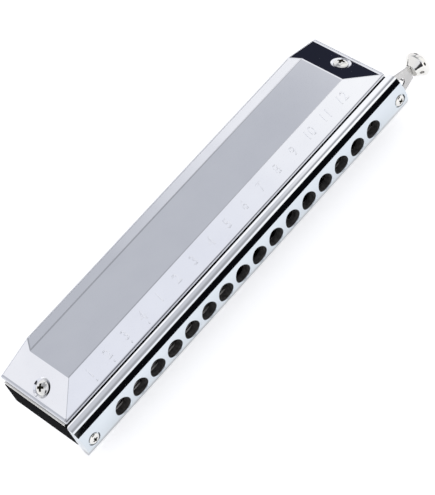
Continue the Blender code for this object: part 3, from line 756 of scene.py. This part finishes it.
def raised_number(name, text, x, middle, uphill, outward):
    """One stamped figure on the front slope."""
    curve = bpy.data.curves.new(name, "FONT")
    curve.body = text
    curve.size = NUMBER_SIZE
    curve.align_x = "CENTER"
    curve.align_y = "CENTER"
    curve.resolution_u = 6
    curve.extrude = NUMBER_HEIGHT
    curve.bevel_depth = NUMBER_ROUND
    curve.bevel_resolution = 3
    curve.offset = -NUMBER_ROUND * 0.9
    item = settle(add_object(name, curve))
    place = Matrix((Vector((1.0, 0.0, 0.0)), uphill, outward)).transposed().to_4x4()
    place.translation = Vector((x, middle.y, middle.z)) - outward * 0.00005
    item.data.transform(place)
    return item


def figures():
    """Hole numbers above the holes: a low octave marked with a dot, then one to twelve."""
    run = Vector((0.0, PANEL_FRONT_Y - BASE_FRONT_Y, PANEL_Z - FLANGE_Z)).normalized()
    outward = Vector((0.0, -run.z, run.y))
    middle = Vector((0.0, (PANEL_FRONT_Y + BASE_FRONT_Y) / 2, (PANEL_Z + FLANGE_Z) / 2))
    items = []
    for index, hole_x in enumerate(HOLE_X):
        x = hole_x + NUMBER_SHIFT
        number = index + 1 if index < LOW_OCTAVE else index + 1 - LOW_OCTAVE
        items.append(raised_number("figure_%d" % index, str(number), x, middle, run, outward))
        if index < LOW_OCTAVE:
            dot = lathe("dot_%d" % index, DOT_PROFILE, 16)
            dot.location = Vector((x, middle.y, middle.z)) - run * DOT_DROP
            dot.rotation_euler = outward.to_track_quat("Z", "Y").to_euler()
            items.append(dot)
    return items


def make_cover(level_name, level):
    name = level_name + "_cover_shell"
    parts = [cover_sheet(name + "_sheet"), back_hem(name + "_hem"), flange_bead(name + "_bead")]
    if level > 0:
        parts += figures()
    cover = merge(name, parts)
    if level < 0:
        cover.data.transform(Matrix.Rotation(math.pi, 4, "Y"))
    cover.data.transform(AT_MIDDLE)
    smooth(cover, 32.0, weighted=True)
    finished(cover, COVER_CHROME, "body", "chrome", level_name + "_cover")


# ---------------------------------------------------------------- mouthpiece


def mouthpiece_outline():
    crown = (FACE_Y + FACE_RADIUS, 0.0)
    shoulder = arc(crown, FACE_RADIUS - SHOULDER_RADIUS, 180 - FACE_SPREAD, 180, 1)[0]
    face = arc(crown, FACE_RADIUS, 180 + FACE_SPREAD, 180 - FACE_SPREAD, 36)
    round_over = arc(shoulder, SHOULDER_RADIUS, 180 - FACE_SPREAD, 90 + BAND_FRONT_TILT, 9)[1:]
    ahead, ridge = round_over[-1]
    tilt = math.radians(BAND_FRONT_TILT)
    centre_y = ahead + BAND_RADIUS * math.sin(tilt)
    centre_z = ridge - BAND_RADIUS * math.cos(tilt)
    band = []
    for step in range(1, 15):
        y = ahead + (MOUTH_BACK_Y - ahead) * step / 14
        band.append((y, centre_z + math.sqrt(BAND_RADIUS ** 2 - (y - centre_y) ** 2)))
    upper = round_over + band
    lower = [(y, -z) for y, z in reversed(upper)]
    return lower + face + upper


def crown_y(z):
    return FACE_Y + FACE_RADIUS - math.sqrt(FACE_RADIUS ** 2 - z ** 2)


def mouth_cutter(name, x, radius, rounding, back_y, steps=64):
    """Bore through the crowned face with a rim that rolls over evenly onto the face."""
    shape = bmesh.new()
    rings = []
    profile = [(radius, None), (radius, rounding)]
    for angle in (15, 30, 45, 60, 75):
        turn = math.radians(angle)
        profile.append((radius + rounding * (1 - math.cos(turn)), rounding * (1 - math.sin(turn))))
    profile.append((profile[-1][0] + 0.00003, -0.0012))
    for ring_radius, depth in profile:
        ring = []
        for step in range(steps):
            angle = 2 * math.pi * (step + 0.5) / steps
            z = ring_radius * math.sin(angle)
            y = back_y if depth is None else crown_y(z) + depth
            ring.append(shape.verts.new((x + ring_radius * math.cos(angle), y, z)))
        rings.append(ring)
    shape.faces.new(rings[0])
    shape.faces.new(rings[-1])
    # the bore's straight wall takes the painted shade; the rim that rolls onto the face stays chrome
    for number, (first, second) in enumerate(zip(rings, rings[1:])):
        for face in wall(shape, first, second):
            face.material_index = 1 if number == 0 else 0
    return coat(store(name, shape), MOUTH_CHROME, BORE_PAINTED_SHADE)


def section_normal(y, z):
    """Outward direction of the mouthpiece's section where a point lies on a curved part of it."""
    out = Vector((0.0, y - (FACE_Y + FACE_RADIUS), z))
    if abs(out.length - FACE_RADIUS) < 0.000012:
        return out.normalized()
    return None


def follow_crown(body):
    """Give the crowned face the exact normals of its arc, so that its reflections run evenly."""
    mesh = body.data
    normals = [Vector(corner.vector) for corner in mesh.corner_normals]
    margin = END_ROUND * 1.3
    for face in mesh.polygons:
        corners = [mesh.vertices[index].co for index in face.vertices]
        on_crown = [section_normal(corner.y, corner.z) for corner in corners]
        within = all(MOUTH_LOW.x + margin <= corner.x <= MOUTH_HIGH.x - margin
                     for corner in corners)
        if within and all(on_crown) and face.normal.dot(on_crown[0]) > 0.995:
            for index, normal in zip(face.loop_indices, on_crown):
                normals[index] = normal
    mesh.normals_split_custom_set(normals)


def make_mouthpiece():
    left, right = MOUTH_LOW.x, MOUTH_HIGH.x
    body = prism("mouthpiece_body", mouthpiece_outline(), left, right, ALONG_X)
    rear = MOUTH_BACK_Y - REAR_CORNER
    plan = [(left - PAST_BAR, FACE_Y - PAST_BAR), (right + PAST_BAR, FACE_Y - PAST_BAR),
            (right + PAST_BAR, rear)]
    plan += arc((right - REAR_CORNER, rear), REAR_CORNER, 0, 90, 8)
    plan += arc((left + REAR_CORNER, rear), REAR_CORNER, 90, 180, 8)
    plan.append((left - PAST_BAR, rear))
    combine(body, prism("mouthpiece_plan", plan, -PLAN_HALF, PLAN_HALF, Matrix.Identity(4)),
            "INTERSECT")
    bevel(body, END_ROUND, 4, 40.0)
    coat(body, MOUTH_CHROME, BORE_PAINTED_SHADE, 0)
    combine(body, boxes("recess", [((RECESS_LEFT_X, right + PAST_BAR),
                                    (RECESS_Y, MOUTH_HIGH.y + PAST_BAR), (-RECESS_Z, RECESS_Z))]))
    back_y = RECESS_Y + PAST_PLATE
    cutters = [mouth_cutter("hole_%d" % index, x, HOLE_RADIUS, HOLE_ROUND, back_y)
               for index, x in enumerate(HOLE_X)]
    cutters += [mouth_cutter("seat_%d" % side, side * MOUTHPIECE_SCREW_X,
                             MOUTHPIECE_SEAT_RADIUS - 0.0001, 0.0003, MOUTHPIECE_SEAT_Y)
                for _, side in SIDES]
    combine(body, merge("mouth_cutters", cutters))
    bores = [rod("bore_%d" % side, (side * MOUTHPIECE_SCREW_X, FACE_Y + 0.0002, 0),
                 (side * MOUTHPIECE_SCREW_X, back_y, 0), SCREW_BORE_RADIUS) for _, side in SIDES]
    combine(body, merge("mouth_bores", bores))
    smooth(body, 28.0)
    follow_crown(body)
    body.data.transform(AT_MIDDLE)
    finished(body, None, "body", "chrome", "mouthpiece")


# ---------------------------------------------------------------- fasteners


def cross_recess(name, reach, width, depth, top):
    """Tapered cross that the driver fits, as a cutter below a given height."""
    arms = []
    for turn in (0.0, math.pi / 2):
        shape = bmesh.new()
        made = bmesh.ops.create_cube(shape, size=1.0)["verts"]
        for corner in made:
            upper = corner.co.z > 0
            long_half = reach if upper else reach * 0.45
            short_half = width / 2 if upper else width * 0.36
            corner.co = Vector((math.copysign(long_half, corner.co.x),
                                math.copysign(short_half, corner.co.y),
                                top + 0.0004 if upper else top - depth))
        arm = store("%s_arm" % name, shape)
        arm.rotation_euler = (0.0, 0.0, turn)
        arms.append(bake_place(arm))
    combine(arms[0], arms[1], "UNION")
    return arms[0]


def screw_shape(name, head_radius, head_height, shank_length, reach, dome):
    """Pan head with a rolled edge, a cross recess and a threaded shank."""
    skirt = head_height * 0.34
    profile = [(0.0, head_height)]
    for step in range(1, 9):
        turn = math.radians(90 * step / 8)
        profile.append((head_radius * (dome * math.sin(turn) + (1 - dome) * step / 8),
                        skirt + (head_height - skirt) * math.cos(turn) ** 1.25))
    profile += [(head_radius, skirt * 0.4), (head_radius * 0.985, 0.0), (0.00098, 0.0)]
    for index in range(int((shank_length - 0.001) / THREAD_PITCH)):
        height = -0.0004 - index * THREAD_PITCH
        profile += [(0.00082, height), (0.0010, height - THREAD_PITCH * 0.5)]
    profile += [(0.00080, -shank_length + 0.0004), (0.0004, -shank_length), (0.0, -shank_length)]
    item = lathe(name, profile, 56)
    coat(item, SCREW_PLATE, RECESS_PAINTED_SHADE, 0)
    # the cross recess's faces take the painted shade
    cross = cross_recess(name, reach, reach * CROSS_WIDTH, head_height * CROSS_DEPTH, head_height)
    combine(item, coat(cross, SCREW_PLATE, RECESS_PAINTED_SHADE, 1))
    bevel(item, 0.00004, 2, 50.0)
    return smooth(item, 38.0)


def place_screw(pattern, name, place, outward, twist, node, material=None, slot="chrome"):
    """A copy of a screw, seated at a place with its head outward."""
    item = add_object(name, pattern.data.copy())
    turn = outward.to_track_quat("Z", "Y").to_matrix() @ Matrix.Rotation(twist, 3, "Z")
    item.matrix_world = Matrix.Translation(place) @ turn.to_4x4()
    bpy.context.view_layer.update()
    finished(item, material, "body", slot, node)


def make_screws():
    pan = screw_shape("pan_screw", *PAN_SCREW)
    oval = screw_shape("oval_screw", *OVAL_SCREW)
    small = screw_shape("small_screw", *SMALL_SCREW)
    twists = iter((0.5, 0.3, 1.1, 0.8))
    for level_name, level in LEVELS:
        for side_name, side in SIDES:
            origin, outward = cover_screw_axis(side, level)
            seat = AT_MIDDLE @ (origin - outward * (DISH_DEPTH - GAP / 2))
            tail = "%s_%s" % (level_name, side_name)
            place_screw(pan, "cover_pan_screw_" + tail, seat, outward, next(twists),
                        "cover_screw_" + tail)
    for (side_name, side), twist in zip(SIDES, (0.15, 0.75)):
        seat = Vector((side * MOUTHPIECE_SCREW_X, MOUTHPIECE_SEAT_Y - GAP / 3, MIDDLE_Z))
        place_screw(oval, "mouth_oval_screw_" + side_name, seat, Vector((0.0, -1.0, 0.0)), twist,
                    "mouthpiece_screw_" + side_name)
    for level_name, level in LEVELS:
        for number, (x, y) in enumerate(PLATE_SCREWS, 1):
            seat = Vector((x, y, MIDDLE_Z + level * (PLATE_TOP_Z + GAP / 6)))
            tail = "%s_%d" % (level_name, number)
            place_screw(small, "reed_plate_screw_" + tail, seat, Vector((0.0, 0.0, level)),
                        0.7 * number + level, "plate_screw_" + tail, STEEL, "satin_steel")
    for pattern in (pan, oval, small):
        bpy.data.objects.remove(pattern, do_unlink=True)


# ---------------------------------------------------------------- reed plates, reeds and valves


def reed_places():
    places = []
    count = 2 * HOLES
    for index in range(count):
        x = (index - (count - 1) / 2) * HOLE_PITCH / 2
        length = REED_LONGEST + (REED_SHORTEST - REED_LONGEST) * (index / (count - 1)) ** 0.8
        places.append((x, length))
    return places


def strip(shape, x, stations, half_widths, face, out, lifts, thicknesses):
    """A thin strip along Y that lies on a plate: a loft through rectangular sections."""
    rings = []
    for y, half, lift, thickness in zip(stations, half_widths, lifts, thicknesses):
        low = face + out * lift
        high = low + out * thickness
        rings.append([shape.verts.new((x + side * half, y, z)) for side, z in
                      ((-1, low), (1, low), (1, high), (-1, high))])
    for first, second in zip(rings, rings[1:]):
        wall(shape, first, second)
    shape.faces.new(rings[0])
    shape.faces.new(rings[-1])


def on_level(item, level):
    """Put a piece built above the middle on its level; the lower one is mirrored."""
    item.data.transform(AT_MIDDLE @ Matrix.Diagonal((1.0, 1.0, float(level), 1.0)))
    if level < 0:
        item.data.flip_normals()


def plate_sheet(name):
    """Reed plate with a slot for every reed and holes for the screws and the cover's posts."""
    plate = boxes(name, [(PLATE_ENDS, (PLATE_FRONT_Y, PLATE_BACK_Y),
                          (PLATE_BOTTOM_Z, PLATE_TOP_Z))])
    bevel(plate, 0.00012, 3)
    depth = (PLATE_BOTTOM_Z - PAST_PLATE, PLATE_TOP_Z + PAST_PLATE)
    slots = [((x - SLOT_WIDTH / 2, x + SLOT_WIDTH / 2), (SLOT_FRONT_Y, SLOT_FRONT_Y + length),
              depth) for x, length in reed_places()]
    combine(plate, boxes("slots", slots))
    bores = [upright_rod("bore", x, y, *depth, SCREW_BORE_RADIUS) for x, y in PLATE_SCREWS]
    bores += [upright_rod("boss", side * COVER_SCREW_X, COVER_SCREW_Y, *depth, BOSS_RADIUS + GAP)
              for _, side in SIDES]
    return combine(plate, merge("bores", bores))


def make_reed_plate(level_name, level):
    """A reed plate with reeds and valves, alternately on its inner and its outer face."""
    plate = plate_sheet(level_name + "_plate")
    on_level(plate, level)
    smooth(plate, weighted=True)
    finished(plate, NICKEL, "body", "brass", level_name + "_reed_plate")

    reeds = bmesh.new()
    valves = bmesh.new()
    rivets = []
    narrow, wide = REED_WIDTH / 2, REED_WIDTH / 2 + 0.00035
    for index, (x, length) in enumerate(reed_places()):
        inner, outer = (PLATE_BOTTOM_Z, -1), (PLATE_TOP_Z, 1)
        reed_side, valve_side = (outer, inner) if index % 2 == 1 else (inner, outer)
        face, out = reed_side
        tip = SLOT_FRONT_Y + 0.0002
        root = SLOT_FRONT_Y + length
        low_note = 1.0 - index / (2 * HOLES - 1)
        stations = [tip, tip + 0.0012, tip + 0.0036, (tip + root) / 2, root - 0.0006,
                    root + 0.0001, root + 0.0004, root + REED_PAD]
        lifts = [0.00022, 0.00018, 0.00012, 0.00006, 0.00001, 0.0, 0.0, 0.0]
        thicknesses = [0.00012 + 0.00012 * low_note] * 2
        thicknesses += [0.00008, 0.00008, 0.00012, 0.00014, 0.0003, 0.0003]
        strip(reeds, x, stations, [narrow] * 6 + [wide] * 2, face, out, lifts, thicknesses)
        rivet = lathe("rivet", RIVET_PROFILE, 16)
        rivet.data.transform(Matrix.Diagonal((1.0, 1.0, float(out), 1.0)))
        if out < 0:
            rivet.data.flip_normals()
        rivet.location = (x, root + REED_PAD * 0.55, face)
        rivets.append(rivet)
        free = [SLOT_FRONT_Y - 0.0006 + (length + 0.0004) * t for t in (0.0, 0.12, 0.3, 0.6, 1.0)]
        strip(valves, x, free + [root + 0.0018], [SLOT_WIDTH / 2 + 0.00025] * 6, *valve_side,
              [0.00034, 0.00026, 0.00014, 0.00006, 0.00002, 0.0], [0.00012] * 6)
    reed_item = merge(level_name + "_reeds", [store("tongues", reeds)] + rivets)
    valve_item = store(level_name + "_valves", valves)
    for item, material, slot in ((reed_item, REED_BRASS, "brass"),
                                 (valve_item, VALVE_FILM, "silicone")):
        on_level(item, level)
        smooth(item, 30.0)
        finished(item, material, "body", slot)


# ---------------------------------------------------------------- comb


def cover_boss(side, level):
    """Post that takes a cover screw, its top parallel to the cover's end slope."""
    origin, outward = cover_screw_axis(side, level)
    post = upright_rod("boss", origin.x, origin.y, level * (COMB_Z - 0.001),
                       level * (FLANGE_Z + 0.004), BOSS_RADIUS, 48)
    top = origin - outward * (DISH_DEPTH + COVER_THICKNESS + GAP)
    return combine(post, rod("boss_trim", top, top + outward * 0.008, 0.008, 48))


def make_comb():
    """Black body with a cell for every reed, open to the slide through low throats."""
    comb = boxes("comb_body", [((COMB_LOW.x, COMB_HIGH.x), (COMB_LOW.y, COMB_HIGH.y),
                                (-COMB_Z, COMB_Z))])
    bevel(comb, COMB_ROUND, 4)
    top = COMB_Z + BEYOND
    front = COMB_LOW.y - BEYOND
    cells = []
    throats = []
    for x, length in reed_places():
        across = (x - CELL_WIDTH / 2, x + CELL_WIDTH / 2)
        back = SLOT_FRONT_Y + length + REED_PAD + CELL_BACK_ROOM
        for _, level in LEVELS:
            cells.append((across, (CELL_FRONT_Y, back),
                          tuple(sorted((level * CELL_FLOOR_Z, level * top)))))
            throats.append((across, (front, CELL_FRONT_Y + BEYOND),
                            tuple(sorted((level * CELL_FLOOR_Z, level * THROAT_TOP_Z)))))
    combine(comb, boxes("cells", cells))
    combine(comb, boxes("throats", throats))
    for _, side in SIDES:
        for _, level in LEVELS:
            combine(comb, cover_boss(side, level), "UNION")
    for _, side in SIDES:
        x = side * MOUTHPIECE_SCREW_X
        combine(comb, rod("insert_bore", (x, front, 0), (x, INSERT_BACK_Y + GAP, 0),
                          INSERT_RADIUS + GAP))
        for _, level in LEVELS:
            origin, outward = cover_screw_axis(side, level)
            combine(comb, rod("cover_bore", origin, origin - outward * COVER_BORE_DEPTH,
                              SCREW_BORE_RADIUS))
    for x, y in PLATE_SCREWS:
        for _, level in LEVELS:
            combine(comb, upright_rod("plate_bore", x, y, level * top, level * PLATE_BORE_END_Z,
                                      SCREW_BORE_RADIUS))
    combine(comb, upright_rod("spring_pocket", SPRING_X, SPRING_Y, POCKET_FLOOR_Z, top,
                              POCKET_RADIUS, 48))
    combine(comb, upright_rod("pin_bore", SPRING_X, SPRING_Y, POCKET_FLOOR_Z - PIN_BORE_DEPTH,
                              POCKET_FLOOR_Z + BEYOND, PIN_BORE_RADIUS))
    combine(comb, boxes("spring_channel", [((CHANNEL_X, COMB_HIGH.x + BEYOND), (front, SPRING_Y),
                                            (POCKET_FLOOR_Z, CHANNEL_TOP_Z))]))
    combine(comb, boxes("anchor_slot", [((ANCHOR_SLOT_X, SPRING_X),
                                         (SPRING_Y + 0.0014, SPRING_Y + 0.0030),
                                         (POCKET_FLOOR_Z, top))]))
    comb.data.transform(AT_MIDDLE)
    smooth(comb, 32.0, weighted=True)
    finished(comb, PLASTIC, "body", "comb_plastic", "comb")


# ---------------------------------------------------------------- knob, slide and springs


def make_knob():
    length = KNOB_HIGH.x - KNOB_LOW.x
    radius = (KNOB_HIGH.z - KNOB_LOW.z) / 2
    knob = lathe("slide_knob", [(radius * across, length * along)
                                for across, along in KNOB_PROFILE], 72)
    y = (SLIDE_LOW.y + SLIDE_HIGH.y) / 2
    knob.rotation_euler = (0.0, math.pi / 2, 0.0)
    knob.location = (KNOB_LOW.x, y, MIDDLE_Z)
    bake_place(knob)
    half = (SLIDE_HIGH.y - SLIDE_LOW.y) / 2 + GAP / 2
    combine(knob, boxes("slit", [((KNOB_LOW.x - PAST_PLATE, SLIDE_HIGH.x + GAP),
                                  (y - half, y + half),
                                  (MIDDLE_Z - TONGUE_HALF, MIDDLE_Z + TONGUE_HALF))]))
    pin_low, pin_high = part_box("knob_pin")
    pin_x = (pin_low.x + pin_high.x) / 2
    combine(knob, rod("pin_hole", (pin_x, y - 0.008, MIDDLE_Z), (pin_x, y + 0.008, MIDDLE_Z),
                      (pin_high.z - pin_low.z) / 2 + 0.0001))
    smooth(knob, 32.0)
    finished(knob, KNOB_PLATE, "slide", "chrome", "knob")


def make_spring():
    """Wire spring: a leg in the comb, a coil and a leg that pushes on the slide."""
    centre = Vector((SPRING_X, SPRING_Y, 0.0))
    lowest = -SPRING_TURNS * SPRING_PITCH / 2
    route = [centre + Vector((-0.0058, SPRING_COIL_RADIUS, lowest))]
    per_turn = 28
    steps = round(SPRING_TURNS * per_turn)
    for step in range(steps + 1):
        turn = step / per_turn
        angle = math.pi / 2 - 2 * math.pi * turn
        around = Vector((math.cos(angle), math.sin(angle), 0.0)) * SPRING_COIL_RADIUS
        route.append(centre + around + Vector((0.0, 0.0, lowest + turn * SPRING_PITCH)))
    top = lowest + SPRING_TURNS * SPRING_PITCH
    leg = [route[-1], Vector((SPRING_X + SPRING_COIL_RADIUS + 0.0003, -0.0120, top * 0.8)),
           Vector((SPRING_TIP_X - 0.0022, -0.0172, top * 0.3)),
           Vector((SPRING_TIP_X - 0.0003, -0.0195, 0.0)),
           Vector((SPRING_TIP_X, -0.0204, 0.0)),
           Vector((SPRING_TIP_X, SLIDE_LOW.y, 0.0))]
    bends = rounded_route(leg, 0.0004, 4)
    fine = []
    for first, second in zip(bends, bends[1:]):
        pieces = max(1, round((second - first).length / 0.0006))
        fine += [first.lerp(second, piece / pieces) for piece in range(pieces)]
    route = route[:-1] + fine + [bends[-1]]
    lift = Vector((0.0, 0.0, MIDDLE_Z))
    spring = tube("spring_wire", [place + lift for place in route], SPRING_WIRE_RADIUS, 4)
    smooth(spring, 60.0)
    spring.data.materials.append(STEEL)
    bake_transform(spring)
    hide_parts("return_spring")


# ---------------------------------------------------------------- assembly

for level_name, level in LEVELS:
    make_cover(level_name, level)
    make_reed_plate(level_name, level)
make_mouthpiece()
make_screws()
make_knob()
make_spring()
make_comb()
for name, node, width, body in (("rear_guide_sheet", "slide_back_plate", 0.00005, "body"),
                                ("front_guide_sheet", "slide_front_plate", 0.00005, "body"),
                                ("slide_sheet", "slide", 0.00007, "slide"),
                                ("knob_cross_pin", "knob_pin", 0.00012, "slide"),
                                ("spring_post", "spring_pin", 0.00015, "body")):
    finished(refined(name, node, width), STEEL, body, "satin_steel", node)
for side_name, _ in SIDES:
    for node, material in (("mouthpiece_insert_" + side_name, BRASS),
                           ("bumper_" + side_name, SILICONE)):
        frame["nodes"][node].data.materials.clear()
        frame["nodes"][node].data.materials.append(material)

# ---------------------------------------------------------------- floor, light and camera

FLOOR_HALF = 3.0
FLOOR_GLOW = 0.45                  # the pale sheet is lit a little from below, as on a light table

# The room by direction: x is to the right, y to the back and z up, and a direction has length one.
# Each pair is where a soft border begins and ends.
CEILING_RIGHT = (0.26, 0.38)
CEILING_REAR = (-0.5, 0.3)
CEILING_FRONT = (-0.84, -0.79)
LEFT_TONE = (0.95, 0.965, 1.03)
RIGHT_TONE = (1.15, 1.15, 1.15)
REAR_TONE = (1.04, 1.04, 1.07)
FRONT_TONE = (1.40, 1.38, 1.36)
CARD_LEFT = (-0.42, -0.30)
CARD_RIGHT = (0.22, 0.34)
CARD_RIGHT_LEAN = 0.18             # how far the card's right and rear borders slant
CARD_FRONT = (-0.40, -0.22)
CARD_REAR = (0.70, 0.75)
CARD_REAR_LEAN = 0.35
CARD_DEEP = (0.40, 0.56)           # the card is deeper in tone between these two borders
CARD_PALE = (-0.06, 0.02)
CARD_TONE = (0.605, 0.62, 0.668)
CARD_DEEP_TONE = (0.43, 0.44, 0.47)
LINE = ((-0.04, -0.02), (0.0, 0.02))
LINE_TONE = (0.10, 0.10, 0.12)
STREAK = ((0.34, 0.40), (0.45, 0.51))
STREAK_TONE = (0.36, 0.37, 0.40)
PATCH_RIGHT = (-0.46, -0.38)
PATCH = ((-0.76, -0.70), (-0.50, -0.42))
PATCH_TONE = (0.05, 0.05, 0.055)
CORNER_LEFT = (0.66, 0.71)
CORNER = ((0.42, 0.47), (0.67, 0.72))
CORNER_TOP = (0.30, 0.35)
AHEAD = ((-0.08, -0.02), (0.57, 0.63))
AHEAD_REAR = (-0.45, -0.32)
AHEAD_TOP = (0.37, 0.41)
NIGHT_REAR = (-0.2, 0.2)
NIGHT_FRONT_TONE = (0.004, 0.004, 0.005)
NIGHT_REAR_TONE = (0.020, 0.022, 0.036)
HORIZON = (-0.03, 0.0)
GROUND_TONE = (0.9, 0.9, 0.92)
BACKGROUND = (1.0, 1.0, 1.0)

CAMERA_AZIMUTH = -24.805
CAMERA_ELEVATION = 50.502
CAMERA_ROLL = 27.99
CAMERA_PLACE = (-0.20707, -0.45556, 0.60923)
CAMERA_SENSOR = 36.0
CAMERA_LENS = 152.25


def make_floor():
    """Wide flat sheet of pale paper."""
    shape = bmesh.new()
    bmesh.ops.create_grid(shape, x_segments=40, y_segments=40, size=FLOOR_HALF)
    for corner in shape.verts:
        corner.co.z = FLOOR_Z
    floor = store("floor", shape, recalculate=False)
    finish = Finish("paper")
    fibre = finish.noise(400.0, 4.0)
    cloud = finish.noise(3.0, 2.0)
    colour = finish.shades(cloud, 0.3, 0.7, (0.90, 0.90, 0.905), (0.88, 0.88, 0.885))
    finish.bump(fibre, 0.00002)
    floor.data.materials.append(finish.look(Base_Color=colour, Roughness=0.75,
                                            Emission_Color=BACKGROUND,
                                            Emission_Strength=FLOOR_GLOW))
    floor.data.shade_smooth()


def make_world():
    """Room seen in the plating: a bright ceiling with a grey card, dark areas and a pale ground.

    The card carries a thin dark line and a darker streak. One dark patch is in the front left, one
    in the right rear corner and one low ahead. Only the empty background is white to the camera.
    """
    world = bpy.data.worlds.new("studio")
    bpy.context.scene.world = world
    world.use_nodes = True
    world.node_tree.nodes.clear()
    sky = Nodes(world.node_tree)

    def after(value, border):
        return sky.ranged(value, *border, interpolation_type="SMOOTHSTEP")

    def before(value, border):
        return sky.ranged(value, *border, 1.0, 0.0, interpolation_type="SMOOTHSTEP")

    def product(whole, *factors):
        for factor in factors:
            whole = sky.maths("MULTIPLY", whole, factor)
        return whole

    def between(value, borders, *factors):
        return product(after(value, borders[0]), before(value, borders[1]), *factors)

    ray = sky.node("ShaderNodeTexCoord").outputs["Generated"]
    x, y, z = sky.node("ShaderNodeSeparateXYZ", {0: ray}).outputs
    leaning_right = sky.maths("SUBTRACT", x, product(y, CARD_RIGHT_LEAN))
    leaning_rear = sky.maths("ADD", y, product(x, CARD_REAR_LEAN))
    card = product(after(x, CARD_LEFT), before(leaning_right, CARD_RIGHT), after(y, CARD_FRONT),
                   before(leaning_rear, CARD_REAR))
    shade = sky.mix(after(y, CARD_DEEP), CARD_DEEP_TONE, CARD_TONE)
    shade = sky.mix(after(y, CARD_PALE), CARD_TONE, shade)
    ceiling = sky.mix(after(x, CEILING_RIGHT), LEFT_TONE, RIGHT_TONE)
    ceiling = sky.mix(after(y, CEILING_REAR), ceiling, REAR_TONE)
    ceiling = sky.mix(after(y, CEILING_FRONT), FRONT_TONE, ceiling)
    patch = product(before(x, PATCH_RIGHT), before(y, PATCH[1]), after(y, PATCH[0]))
    for area, tone in ((card, shade), (between(y, LINE, after(x, CARD_LEFT)), LINE_TONE),
                       (between(y, STREAK, after(x, CARD_LEFT)), STREAK_TONE),
                       (patch, PATCH_TONE)):
        ceiling = sky.mix(area, ceiling, tone)
    night = sky.mix(after(y, NIGHT_REAR), NIGHT_FRONT_TONE, NIGHT_REAR_TONE)
    corner = product(after(x, CORNER_LEFT), after(y, CORNER[0]), before(y, CORNER[1]),
                     before(z, CORNER_TOP))
    ahead = between(x, AHEAD, before(y, AHEAD_REAR), before(z, AHEAD_TOP))
    room = sky.mix(sky.maths("MAXIMUM", ahead, corner), ceiling, night)
    below = sky.mix(after(z, HORIZON), GROUND_TONE, room)
    seen = sky.node("ShaderNodeLightPath").outputs["Is Camera Ray"]
    background = sky.node("ShaderNodeBackground", {"Color": sky.mix(seen, below, BACKGROUND),
                                                   "Strength": 1.0})
    sky.node("ShaderNodeOutputWorld", {"Surface": background.outputs[0]})


def make_camera():
    azimuth, elevation, roll = (math.radians(angle) for angle in
                                (CAMERA_AZIMUTH, CAMERA_ELEVATION, CAMERA_ROLL))
    back = Vector((math.sin(azimuth) * math.cos(elevation),
                   -math.cos(azimuth) * math.cos(elevation), math.sin(elevation)))
    level_right = Vector((math.cos(azimuth), math.sin(azimuth), 0.0))
    level_up = back.cross(level_right)
    right = level_right * math.cos(roll) - level_up * math.sin(roll)
    up = level_right * math.sin(roll) + level_up * math.cos(roll)
    data = bpy.data.cameras.new("camera")
    data.sensor_width = CAMERA_SENSOR
    data.lens = CAMERA_LENS
    data.clip_start = 0.01
    data.clip_end = 20.0
    item = add_object("camera", data)
    place = Matrix((right, up, back)).transposed().to_4x4()
    place.translation = CAMERA_PLACE
    item.matrix_world = place
    bpy.context.scene.camera = item


make_floor()
make_world()
make_camera()
bpy.context.scene.view_settings.view_transform = "Standard"
